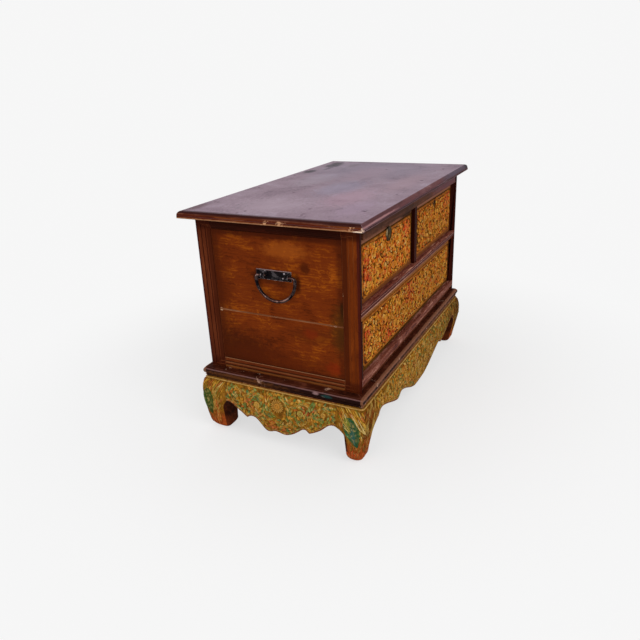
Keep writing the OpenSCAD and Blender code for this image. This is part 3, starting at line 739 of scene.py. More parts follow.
@dataclass(frozen=True)
class StandShape:
    """The stand's main sizes, its swelling outline and the sections of its legs, in millimetres.

    A foot is its width and how far its face draws back; a rounding is its height and the flat below it.
    """

    leg_h: float = 168.0
    knee: float = 14.0
    block_w: float = 70.0
    foot_x: Pair = (54.0, 0.0)
    foot_front: Pair = (51.0, 7.0)
    foot_back: Pair = (61.0, -4.0)
    packed_front: Pair = (46.0, 16.0)
    packed_back: Pair = (61.0, 0.0)
    round_front: Pair = (19.0, 15.0)
    round_back: Pair = (28.0, 9.0)
    low_seam: float = 106.95
    taper: float = 30.0
    edge_top: float = 9.0
    edge_foot: float = 19.0
    half_x: float = 430.0
    half_y: float = 236.5

    @staticmethod
    def ease(low: float, high: float, z: Array) -> Array:
        """Returns 0 below low, 1 above high, with a soft start and end."""
        t = np.clip((z - low) / (high - low), 0, 1)
        return t * t * (3 - 2 * t)

    def swell(self, z: Array) -> Array:
        """Returns how far the faces swell out at each height."""
        down = np.clip((self.leg_h - z) / self.leg_h, 0, 1)
        return self.knee * np.sin(np.pi * down**0.62)

    def slim(self, z: Array) -> Array:
        """Returns 0 above the seam with the aprons and 1 at the shank."""
        down = np.clip((self.low_seam - z) / self.taper, 0, 1)
        return down * (2 - down)

    def span(self, z: Array, foot: Pair) -> tuple[Array, Array]:
        """Returns where a leg's inner and outer faces lie at each height, beyond the top corner of the stand."""
        low = -self.block_w + (self.block_w - foot[0]) * self.slim(z)
        return low, self.swell(z) - foot[1] * (1 - self.ease(0.15 * self.leg_h, 0.8 * self.leg_h, z))

    @staticmethod
    def half(z: Array, low: Array, high: Array, rounding: Pair) -> Array:
        """Gives half the thickness of a leg whose foot is rounded off below.

        Args:
            z: the heights.
            low: the place of the inner face at each height.
            high: the place of the outer face.
            rounding: the foot's rounding.

        Returns:
            Half the thickness at each height.
        """
        radius, pad = rounding
        under = np.sqrt(1 - np.clip(1 - z / radius, 0, 1) ** 2)
        return pad / 2 + ((high - low) / 2 - pad / 2) * under

    def leg(self, z: Array, front: bool) -> tuple[Array, Array, Array]:
        """Gives the section of a leg at each height.

        Args:
            z: the heights.
            front: whether it is a front leg.

        Returns:
            How far the end's face and the long side's face lie beyond the top corner of the stand, and the radius
            of the edge between them.
        """
        outer, halves = [], []
        for foot in (self.foot_x, self.foot_front if front else self.foot_back):
            low, high = self.span(z, foot)
            half = self.half(z, low, high, self.round_front if front else self.round_back)
            outer.append((low + high) / 2 + half)
            halves.append(half)
        rounding = self.ease(self.low_seam - self.taper, self.leg_h, z)
        radius = self.edge_foot - (self.edge_foot - self.edge_top) * rounding
        return outer[0], outer[1], np.minimum(radius, np.minimum(*halves) - 0.5)

    def reach(self, z: float, front: bool, end: bool) -> float:
        """Returns how far a leg's face reaches from the middle of its outer edge to its inner edge, at a height.

        Args:
            z: the height.
            front: whether it is a front leg.
            end: whether it is the face on the chest's end.

        Returns:
            The distance, in millimetres.
        """
        level = np.array([float(z)])
        face_x, face_y, radius = self.leg(level, front)
        low = self.span(level, (self.foot_front if front else self.foot_back) if end else self.foot_x)[0]
        flat = float((face_y if end else face_x)[0]) - float(low[0]) - float(radius[0]) * (1 - math.pi / 4)
        return flat - 11 * float(self.slim(level)[0]) - (4 if z < 12 else 0)


class Surface:
    """A face of the chest that carving lies on. Its drawing has u to the right, v up and h outwards, in millimetres."""

    def lay(self, u: Array, v: Array, h: Array) -> Array:
        """Returns the places, in metres, of points of the drawing."""
        raise NotImplementedError


@dataclass
class DrawerFace(Surface):
    """The plane of the carved ground of a drawer front."""

    depth: float = -215.3

    def lay(self, u: Array, v: Array, h: Array) -> Array:
        """Returns the places, in metres, of points of the drawing."""
        return np.stack([u, self.depth - h, v], 1) * MM


@dataclass
class ApronFace(Surface):
    """The swelling face of an apron, on the side that its quarter turn from the front gives."""

    shape: StandShape
    quarter: int

    def lay(self, u: Array, v: Array, h: Array) -> Array:
        """Returns the places, in metres, of points of the drawing.

        Args:
            u: the distances from the middle.
            v: the heights.
            h: the heights over the face.

        Returns:
            A row of x, y and z for each point.
        """
        face = (self.shape.half_x if self.quarter % 2 else self.shape.half_y) + self.shape.swell(v) + h
        angle = math.radians(90 * self.quarter)
        x = u * math.cos(angle) + face * math.sin(angle)
        y = u * math.sin(angle) - face * math.cos(angle)
        return np.stack([x, y, v], 1) * MM


@dataclass
class LegFace(Surface):
    """The two outer faces of a leg, unrolled from its rounded corner, where u is 0."""

    shape: StandShape
    side_x: int
    side_y: int

    def lay(self, u: Array, v: Array, h: Array) -> Array:
        """Returns the places, in metres, of points of the drawing.

        Args:
            u: the distances from the corner.
            v: the heights.
            h: the heights over the face.

        Returns:
            A row of x, y and z for each point.
        """
        s = u * self.side_x * self.side_y
        face_x, face_y, radius = self.shape.leg(v, self.side_y < 0)
        angle = math.pi / 4 + np.clip(s / radius, -math.pi / 4, math.pi / 4)
        past = np.clip(np.abs(s) - radius * math.pi / 4, 0, None)
        x = face_x - radius + (radius + h) * np.cos(angle) - np.where(s > 0, past, 0)
        y = face_y - radius + (radius + h) * np.sin(angle) - np.where(s < 0, past, 0)
        return np.stack([self.side_x * (self.shape.half_x + x), self.side_y * (self.shape.half_y + y), v], 1) * MM


# Carving


@dataclass(frozen=True)
class Cut:
    """One copy of an element: its place, its turn from +v, its size, its sideways bend and its colours."""

    motif: Motif
    u: float
    v: float
    turn: float
    length: float
    width: float
    rise: float
    bend: float
    colour: str
    rim: str


@dataclass
class Relief:
    """Carving on one surface, gathered from many elements into one piece."""

    surface: Surface
    points: list[Array] = field(default_factory=list)
    faces: list[tuple[int, ...]] = field(default_factory=list)
    colours: list[Array] = field(default_factory=list)
    heights: list[Array] = field(default_factory=list)
    count: int = 0

    def _take(self, points: Array, faces: Iterable[tuple[int, ...]], colours: Array, heights: Array) -> None:
        """Adds one element that is already in the drawing.

        Args:
            points: its points.
            faces: its faces.
            colours: the colour of each point.
            heights: the height of each point, from 0 to 1.
        """
        self.points.append(points)
        self.faces.extend(tuple(i + self.count for i in face) for face in faces)
        self.colours.append(colours)
        self.heights.append(heights)
        self.count += len(points)

    def cut(self, one: Cut) -> None:
        """Adds a copy of an element.

        Args:
            one: the copy.
        """
        p, rim = one.motif.points, one.motif.rim[:, None]
        x = p[:, 0] * one.width + one.bend * one.length * p[:, 1] ** 2
        y = p[:, 1] * one.length
        c, s = math.cos(one.turn), math.sin(one.turn)
        drawn = np.stack([one.u + x * c - y * s, one.v + x * s + y * c, p[:, 2] * one.rise], 1)
        colour = np.array(paint(one.colour))[None] * (1 - rim) + np.array(paint(one.rim))[None] * rim
        self._take(drawn, one.motif.faces, colour, np.clip(p[:, 2], 0, 1))

    def stem(self, path: Array, width: Pair, rise: float, colour: str) -> None:
        """Adds a rounded stem along a path.

        Args:
            path: its points in the drawing.
            width: its width at the start and at the end.
            rise: its height.
            colour: its colour.
        """
        section = np.array([(-0.5, -0.35), (-0.42, 0.6), (0.0, 1.0), (0.42, 0.6), (0.5, -0.35)])
        n, m = len(path), len(section)
        ahead = np.roll(path, -1, 0) - np.roll(path, 1, 0)
        ahead[0], ahead[-1] = path[1] - path[0], path[-1] - path[-2]
        ahead /= np.maximum(np.linalg.norm(ahead, axis=1, keepdims=True), 1e-9)
        aside = np.stack([ahead[:, 1], -ahead[:, 0]], 1)
        wide = np.linspace(*width, n)
        flat = path[:, None] + aside[:, None] * (section[None, :, :1] * wide[:, None, None])
        tall = np.broadcast_to(section[:, 1] * rise, (n, m))
        drawn = np.concatenate([flat, tall[..., None]], 2).reshape(-1, 3)
        faces = [(i * m + k, i * m + (k + 1) % m, (i + 1) * m + (k + 1) % m, (i + 1) * m + k)
                 for i in range(n - 1) for k in range(m)]
        faces += [tuple(range(m))[::-1], tuple((n - 1) * m + k for k in range(m))]
        heights = np.clip(np.broadcast_to(section[:, 1], (n, m)).reshape(-1), 0, 1)
        self._take(drawn, faces, np.broadcast_to(np.array(paint(colour)), (n * m, 4)), heights)

    def rosette(self, chisel: Chisel, middle: Pair, radius: float, petals: int, colour: str, rim: str, rise: float,
                start: float = 0.0) -> None:
        """Adds a flower.

        Args:
            chisel: the carved elements.
            middle: its middle.
            radius: its radius.
            petals: the number of petals.
            colour: their colour.
            rim: the colour of their border and of the middle.
            rise: its height.
            start: the turn of the first petal.
        """
        u, v = middle
        foot = 0.28 * radius
        for k in range(petals):
            turn = start + 2 * math.pi * k / petals
            self.cut(Cut(chisel.petal, u - foot * math.sin(turn), v + foot * math.cos(turn), turn, radius * 0.76,
                         5.2 * radius / petals, rise, 0.0, colour, rim))
        self.cut(Cut(chisel.berry, u, v - radius * 0.3, 0.0, radius * 0.6, radius * 0.6, rise * 1.15, 0.0, rim, rim))

    def mount(self, name: str, material: Material, body: Body, slot: Slot) -> None:
        """Makes the piece, with its colours and heights as attributes, and puts it on its body.

        Args:
            name: its name.
            material: its material.
            body: its body.
            slot: its slot.
        """
        drawn = np.concatenate(self.points)
        mesh = bpy.data.meshes.new(name)
        mesh.from_pydata(self.surface.lay(*drawn.T).tolist(), [], self.faces)
        for label, kind, key, values in (("paint", "FLOAT_COLOR", "color", self.colours),
                                         ("relief", "FLOAT", "value", self.heights)):
            mesh.attributes.new(label, kind, "POINT").data.foreach_set(key, np.concatenate(values).ravel())
        piece = add(name, mesh)
        only(piece)
        bpy.ops.object.shade_smooth_by_angle(angle=math.radians(48))
        dress(piece, material)
        mount(piece, body, slot)


@dataclass(frozen=True)
class Whorl:
    """A turn of the scrollwork, round whose middle the leaves wind."""

    u: float
    v: float
    radius: float
    spin: int


@dataclass
class Scrollwork:
    """Lays out dense scrolling foliage inside an outline."""

    chisel: Chisel
    inside: Callable[[float, float, float], bool]
    whorls: list[Whorl]
    tint: Callable[[float, float, random.Random], str]
    stem_colour: str
    step: float = 8.2
    size: float = 12.0
    rise: float = 2.2
    seed: int = 1
    wild: float = 1.3

    def _nearest(self, u: float, v: float) -> Whorl:
        """Returns the whorl that a place belongs to."""
        return min(self.whorls, key=lambda w: math.hypot(u - w.u, v - w.v) / w.radius)

    def leaves(self, relief: Relief, box: Box) -> None:
        """Fills a box with leaves that follow the whorls.

        Args:
            relief: the carving that they join.
            box: the lowest and highest u, then the lowest and highest v.
        """
        dice = random.Random(self.seed)
        squeeze = 0.84
        rows = int((box[3] - box[2]) / (self.step * squeeze)) + 1
        columns = int((box[1] - box[0]) / self.step) + 2
        for j in range(rows):
            for i in range(columns):
                u = box[0] + (i + 0.5 * (j % 2) + dice.uniform(-0.3, 0.3)) * self.step
                v = box[2] + (j * squeeze + dice.uniform(-0.26, 0.26)) * self.step
                wildness, long, kind, wide, high, bent = (dice.random() for _ in range(6))
                whorl = self._nearest(u, v)
                far = math.hypot(u - whorl.u, v - whorl.v)
                if not self.inside(u, v, 1.5) or far < 0.27 * whorl.radius:
                    continue
                turn = math.atan2(v - whorl.v, u - whorl.u) + whorl.spin * (math.pi / 2) - math.pi / 2
                turn += whorl.spin * (-0.1 + self.wild * (wildness - 0.5)) * min(1.0, far / whorl.radius)
                length = self.size * (0.78 + 0.45 * long)
                while length > 3 and not self.inside(u - math.sin(turn) * length, v + math.cos(turn) * length, 0.0):
                    length *= 0.8
                colour = self.tint(u, v, dice)
                relief.cut(Cut(
                    self.chisel.leaf if kind < 0.45 else self.chisel.hollow, u, v, turn, length,
                    self.size * (0.4 + 0.16 * wide), self.rise * (0.7 + 0.4 * high), 0.45 * whorl.spin * (bent - 0.2),
                    colour, self.tint(u, v, dice) if kind > 0.7 else colour))

    def stems(self, relief: Relief) -> None:
        """Adds winding stems and a flower to every whorl.

        Args:
            relief: the carving that they join.
        """
        dice = random.Random(self.seed + 50)
        turns = np.linspace(0, 1.5, 14)
        for whorl in self.whorls:
            middle = whorl.u, whorl.v
            for start in (dice.uniform(0, 2), dice.uniform(3, 5)):
                radius = whorl.radius * (0.95 - 0.4 * turns / turns[-1])
                angle = start + whorl.spin * turns
                path = np.stack([whorl.u + radius * np.cos(angle), whorl.v + radius * np.sin(angle)], 1)
                if all(self.inside(a, b, 1.0) for a, b in path):
                    relief.stem(path, (2.8, 1.6), self.rise * 1.12, self.stem_colour)
            if self.inside(*middle, 3.0):
                relief.rosette(self.chisel, middle, whorl.radius * 0.26, 7, self.tint(*middle, dice), self.stem_colour,
                               self.rise * 1.1, dice.uniform(0, 1))


def heat_of(u: float, v: float, spots: Iterable[Triple]) -> float:
    """Returns how near a place is to the middle of the nearest of some round spots, from 0 to 1."""
    return max([1 - math.hypot(u - a, v - b) / r for a, b, r in spots] + [0.0])


# Drawers


@dataclass
class Drawer:
    """A drawer: its carved front and the plain box behind it."""

    name: str
    body: Body
    field_box: Box
    whorl_columns: int
    seed: int
    hot: tuple[Triple, ...]
    bare_spots: tuple[Triple, ...] = ()
    palette: Palette = (("cc7c1c", 0.26), ("dc9830", 0.19), ("dcac5c", 0.07), ("c85e1c", 0.17), ("a06410", 0.14),
                        ("744a0c", 0.09), ("b44416", 0.08))
    rim_w: float = 6.0
    corner: float = 10.0
    leaf_inset: float = 5.0
    inside_y: float = -0.2
    board_y: float = -0.2105
    foot_y: float = -0.2137
    ground_y: float = -0.2153
    rim_foot_y: float = -0.2155
    rim_y: float = -0.2165

    def _inside(self, u: float, v: float, margin: float) -> bool:
        """Tells whether a place is on the carved ground, at least a margin from its rim.

        Args:
            u: its place across, in millimetres.
            v: its place in height.
            margin: the margin, in millimetres.

        Returns:
            Whether it is.
        """
        x0, x1, z0, z1 = self.field_box
        inset = self.rim_w + margin + self.corner
        dx = max(x0 + inset - u, u - x1 + inset, 0.0)
        dz = max(z0 + inset - v, v - z1 + inset, 0.0)
        clear = all(math.hypot(u - a, v - b) > r + margin for a, b, r in self.bare_spots)
        return clear and math.hypot(dx, dz) <= self.corner

    def _tint(self, u: float, v: float, dice: random.Random) -> str:
        """Picks a paint for a place, redder in the hot patches."""
        if dice.random() < 0.9 * heat_of(u, v, self.hot):
            return dice.choice(("cc4620", "b8381c", "d8642c", "c85420"))
        codes, weights = zip(*self.palette)
        return dice.choices(codes, weights)[0]

    def _zone(self, middle: Vector, normal: Vector) -> int:
        """Gives the slot of a face of the front: 0 border, 2 rim, 3 carved ground, 4 inside.

        Args:
            middle: the middle of the face.
            normal: its normal.

        Returns:
            The slot.
        """
        x0, x1, z0, z1 = self.field_box
        inset, near = self.rim_w - 0.1, 3e-4
        if middle.y > self.board_y:
            return 4 if abs(normal.y) > 0.5 or middle.y > self.inside_y else 0
        if abs(middle.y - self.rim_y) < near and normal.y < -0.5:
            return 2
        inner = x0 + inset < middle.x / MM < x1 - inset and z0 + inset < middle.z / MM < z1 - inset
        if middle.y < self.ground_y + 4e-4 and inner:
            return 3
        return 2 if middle.y < self.foot_y else 0

    def build(self, chisel: Chisel, finishes: "Finishes") -> None:
        """Makes the front board, its carving, and dresses the box.

        Args:
            chisel: the carved elements.
            finishes: the chest's finishes.
        """
        x0, x1, z0, z1 = self.field_box
        node = self.name + "_front"
        front = copy_of(node, "", finishes.border, finishes.border_worn, finishes.rim, finishes.ground, finishes.inner)
        front.name = front.data.name = self.name + "_board"
        sort_faces(front, self._zone)
        soften(front, 0.0009, 0.001)
        sort_faces(front, lambda middle, normal: 2 if middle.y < self.rim_foot_y and abs(normal.y) < 0.99 else None)
        mount(front, self.body, Slot.FRONT, node)

        height, width = (z1 - z0 - 2 * self.rim_w) / 2, (x1 - x0 - 2 * self.rim_w) / self.whorl_columns
        dice = random.Random(self.seed + 90)
        whorls = [Whorl(x0 + self.rim_w + (i + 0.5 + dice.uniform(-0.22, 0.22)) * width,
                        z0 + self.rim_w + (j + 0.5 + dice.uniform(-0.2, 0.2)) * height,
                        height * dice.uniform(0.36, 0.58), 1 if (i + j) % 2 else -1)
                  for j in range(2) for i in range(self.whorl_columns)]
        relief = Relief(DrawerFace())
        work = Scrollwork(chisel, self._inside, whorls, self._tint, "d49440", rise=2.6, seed=self.seed, wild=2.6)
        inset = self.leaf_inset
        work.leaves(relief, (x0 + inset, x1 - inset, z0 + inset, z1 - inset))
        work.stems(relief)
        relief.mount(self.name + "_carving", finishes.carving, self.body, Slot.FRONT)
        dress_nodes(finishes.inner, *(f"{self.name}_{part}" for part in ("left_side", "right_side", "back", "bottom")))


# Case


@dataclass
class Case:
    """The case: top, corner posts, side frames, front frame, back and shelves."""

    edge: float = 0.0012
    corner: float = 0.007
    joint_z: float = 0.3675
    lip_z: float = 0.6215
    lip_top_z: float = 0.626
    joint_h: float = 0.0022
    post_inner: float = 0.3905
    round_block: Triple = (0.9022, 0.5092, 0.1)

    def _plain(self, node: str, slot: Slot, main: Material, worn: Material, width: float) -> Piece:
        """Makes a softened copy of a node, in its place.

        Args:
            node: the node.
            slot: the slot.
            main: the finish of its faces.
            worn: the finish of its edges.
            width: the width of its softened edges.

        Returns:
            The copy.
        """
        piece = copy_of(node, "_wood", main, worn)
        soften(piece, width)
        mount(piece, Body.CASE, slot, node)
        return piece

    def build(self, finishes: "Finishes") -> None:
        """Makes the case's pieces.

        Args:
            finishes: the chest's finishes.
        """
        self._top(finishes)
        for y, main in (("front", finishes.post), ("back", finishes.back_post)):
            for x in ("left", "right"):
                self._post(f"{y}_{x}_post", main, finishes)
        for x in ("left", "right"):
            for level in ("upper", "lower"):
                board = self._plain(f"{x}_{level}_board", Slot.SIDE, finishes.side, finishes.rail, 0.0006)
                board.data.materials.append(finishes.joint)
                sort_faces(board, lambda middle, normal: 2 if abs(middle.z - self.joint_z) < self.joint_h else None)
            self._plain(f"{x}_top_rail", Slot.MOULDING, finishes.rail, finishes.rail_worn, self.edge)
            foot = self._plain(f"{x}_foot_rail", Slot.MOULDING, finishes.foot, finishes.foot_worn, self.edge)
            sort_faces(foot, lambda middle, normal: 0 if abs(normal.y) > 0.3 else None)
        for node, main, worn, width in (
                ("front_top_rail", finishes.head, finishes.head, 0.0008),
                ("front_divider", finishes.shadow, finishes.shadow, 0.0008),
                ("front_mid_rail", finishes.front, finishes.front_worn, 0.0009),
                ("front_bottom_rail", finishes.low_front, finishes.front_worn, 0.0008),
                *((side + "_ledge", finishes.ledge, finishes.ledge_worn, 0.0008)
                  for side in ("front", "back", "left", "right"))):
            self._plain(node, Slot.MOULDING, main, worn, width)
        dress_nodes(finishes.back, "back_panel")
        dress_nodes(finishes.inner, "dust_board", "bottom_board", "centre_guide")
        dress_nodes(finishes.peg, "top_pegs")

    def _post(self, node: str, main: Material, finishes: "Finishes") -> None:
        """Makes a corner post, whose face and inner edge beside the drawers are nearly black.

        Args:
            node: the node.
            main: the finish of its faces.
            finishes: the chest's finishes.
        """
        piece = copy_of(node, "_wood", main, finishes.post_worn, finishes.shadow)
        sort_faces(piece, lambda middle, normal: 2 if normal.y < -0.3 or abs(middle.x) < self.post_inner else 0)
        soften(piece, self.edge)
        sort_faces(piece, lambda middle, normal: 2 if normal.y < -0.3 else None)
        mount(piece, Body.CASE, Slot.SIDE, node)

    def _zone(self, middle: Vector, normal: Vector) -> int:
        """Gives the slot of a face of the top: its flat, its bevels, or the lip, at the ends and along the sides."""
        if normal.z > 0.95:
            return 0
        end = abs(normal.x) > abs(normal.y)
        return (3 if end else 5) if middle.z < self.lip_z else 4 if end else 2

    def _top(self, finishes: "Finishes") -> None:
        """Makes the top board, whose bevel and lip have finishes of their own.

        Args:
            finishes: the chest's finishes.
        """
        piece = copy_of("top_board", "_wood", finishes.top, finishes.top_worn, finishes.bevel, finishes.lip,
                        finishes.end_bevel, finishes.front_lip)
        self._round_corners(piece)
        sort_faces(piece, self._zone)
        soften(piece, 0.0009, 0.0008)
        sort_faces(piece, lambda middle, normal:
                   3 if normal.x**2 > normal.y**2 and middle.z < self.lip_top_z and normal.z < 0.9 else None)
        mount(piece, Body.CASE, Slot.TOP, "top_board")

    def _round_corners(self, piece: Piece) -> None:
        """Rounds the four corners of the top board, by what it shares with a block with round edges.

        Args:
            piece: the top board.
        """
        bpy.ops.object.select_all(action="DESELECT")
        bpy.ops.mesh.primitive_cube_add(size=1.0, location=(0.0, 0.0, 0.62))
        block = bpy.context.object
        block.scale = self.round_block
        bpy.ops.object.transform_apply(location=True, rotation=False, scale=True)
        with editing(block):
            pick(block, "EDGE", lambda edge: abs(edge.verts[0].co.z - edge.verts[1].co.z) > 0.05)
            bpy.ops.mesh.bevel(offset=self.corner, segments=6, profile=0.5)
        modify(piece, "BOOLEAN", operation="INTERSECT", object=block, solver="EXACT")
        bpy.data.objects.remove(block, do_unlink=True)


# Stand


def outline(start: Pair, *curves: tuple[Pair, Pair, Pair, int]) -> list[Pair]:
    """Returns points of cubic curves that follow one another.

    Args:
        start: where the first one starts.
        *curves: the two guides of each, its end, and its number of steps.

    Returns:
        The points, with the last end.
    """
    made = []
    for b, c, end, steps in curves:
        for i in range(steps):
            t = i / steps
            w = ((1 - t) ** 3, 3 * (1 - t) ** 2 * t, 3 * (1 - t) * t * t, t**3)
            made.append(tuple(sum(k * p[j] for k, p in zip(w, (start, b, c, end))) for j in (0, 1)))
        start = end
    return made + [start]


@dataclass
class Apron:
    """An apron: its scalloped board, the raised border along its edge, and its carving."""

    name: str
    quarter: int
    half: float
    arch: float
    edges: tuple[Sequence[Pair], Sequence[Pair]]
    shape: StandShape = field(default_factory=StandShape)
    low: float = 38.0
    top: float = 163.0
    rail: float = 165.2
    short: bool = field(init=False)
    path: Array = field(init=False)
    centre: Pair = field(init=False)

    def __post_init__(self) -> None:
        """Works out the lower edge, and where the large flower of a short apron sits."""
        self.short = bool(self.quarter % 2)
        self.path = self.line(0.0)
        self.centre = (-3.0, 127.0) if self.quarter == 3 else (3.0, 127.0)

    def line(self, lift: float) -> Array:
        """Returns the lower edge from end to end, moved up by lift, in millimetres.

        Args:
            lift: how far it is moved.

        Returns:
            The points of the line.
        """
        left, right = ([(a * self.half, self.low + b * (self.arch - self.low)) for a, b in edge] for edge in self.edges)
        path = np.array([(-u, v) for u, v in left[:0:-1]] + right)
        ahead = np.gradient(path, axis=0)
        ahead /= np.linalg.norm(ahead, axis=1, keepdims=True)
        return path + np.stack([-ahead[:, 1], ahead[:, 0]], 1) * lift

    def _inside(self, u: float, v: float, margin: float) -> bool:
        """Tells whether a place is on the carved ground, outside the large flower."""
        level = float(np.interp(u, *self.path.T))
        ground = abs(u) < self.half + 2 - margin and level + 4.5 + margin < v < self.top - margin
        return ground and not (self.short and math.hypot(u - self.centre[0], v - self.centre[1]) <= 20 + margin)

    def _tint(self, u: float, v: float, dice: random.Random) -> str:
        """Picks a paint: ochre and olive, with some green, and redder in a few places of the ends.

        Args:
            u: its place across, in millimetres.
            v: its place in height.
            dice: the source of chance.

        Returns:
            The colour.
        """
        warm = ((-88.0, 122.0, 22.0), (-20.0, 60.0, 26.0), (20.0, 52.0, 22.0), (92.0, 130.0, 18.0))
        if dice.random() < 0.8 * (heat_of(u, v, warm) if self.short else 0.0):
            return dice.choice(("b45024", "bc6834", "a04a20"))
        # The long aprons take darker paints toward their +u end: painted shade at the far end of the front apron.
        if not self.short and dice.random() < 0.4 * (u / self.half - 0.2):
            return dice.choice(("6c4810", "7c5010", "5c4410"))
        patch = math.sin(u / 13 + 1.3) * math.cos(v / 11)
        if dice.random() < (0.34 + 0.3 * patch if self.short else 0.1):
            return dice.choice(("5a7438", "68742e", "4c6c40", "787c30", "88904c"))
        return dice.choices(("b67c24", "9c7018", "c48a30", "b06424", "cca45c", "7c5414"),
                            (0.25, 0.2, 0.18, 0.15, 0.07, 0.15))[0]

    def build(self, chisel: Chisel, finishes: "Finishes") -> None:
        """Makes the board, the border and the carving.

        Args:
            chisel: the carved elements.
            finishes: the chest's finishes.
        """
        node = self.name + "_apron"
        board = copy_of(node, "_board", finishes.apron, finishes.apron_edge, finishes.inside)
        angle = math.radians(90 * self.quarter)
        out = Vector((math.sin(angle), -math.cos(angle), 0))
        sort_faces(board, lambda middle, normal: 2 if normal.dot(out) < -0.5 else 1 if normal.dot(out) < 0.4 else 0)
        soften(board, 0.0012, 0.0005)
        mount(board, Body.CASE, Slot.APRON, node)

        relief = Relief(ApronFace(self.shape, self.quarter))
        relief.stem(self.line(2.2), (3.2, 3.2), 1.5, "7a3c1c")
        relief.stem(self.line(5.2), (1.8, 1.8), 1.2, "c09050")
        relief.stem(np.array([(-self.half, self.rail), (self.half, self.rail)]), (2.8, 2.8), 1.2, "b88a48")
        self._carve(relief, chisel)
        relief.mount(node + "_carving", finishes.stand_carving, Body.CASE, Slot.APRON)

    def _carve(self, relief: Relief, chisel: Chisel) -> None:
        """Lays the foliage out, with a large flower in the middle of the short aprons.

        Args:
            relief: the carving that it joins.
            chisel: the carved elements.
        """
        count = 5 if self.short else 12
        whorls = []
        for i in range(count):
            u = -self.half + (i + 0.5) * 2 * self.half / count
            level = float(np.interp(u, *self.path.T))
            whorls.append(Whorl(u, (level + 8 + self.top) / 2, max(14.0, (self.top - level - 8) / 2.4),
                                1 if i % 2 else -1))
        if self.short:
            whorls.append(Whorl(*self.centre, 26.0, 1))
        work = Scrollwork(chisel, self._inside, whorls, self._tint, "c49a4c", 7.4, rise=1.9, seed=31 + self.quarter,
                          wild=2.2)
        work.leaves(relief, (-self.half, self.half, self.low, self.top))
        work.stems(relief)
        if self.short:
            petals, ring = 18, 9
            for k in range(petals):
                turn = 2 * math.pi * k / petals
                u, v = self.centre[0] - ring * math.sin(turn), self.centre[1] + ring * math.cos(turn)
                relief.cut(Cut(chisel.petal, u, v, turn, 10.0, 3.4, 2.4, 0.25, ("b87c28", "9c6c20")[k % 2], "d0a050"))
            relief.rosette(chisel, self.centre, 9.0, 8, "ac6820", "cc943c", 2.9)


class Side(Enum):
    """The two carved faces of a leg."""

    END = -1
    LONG = 1


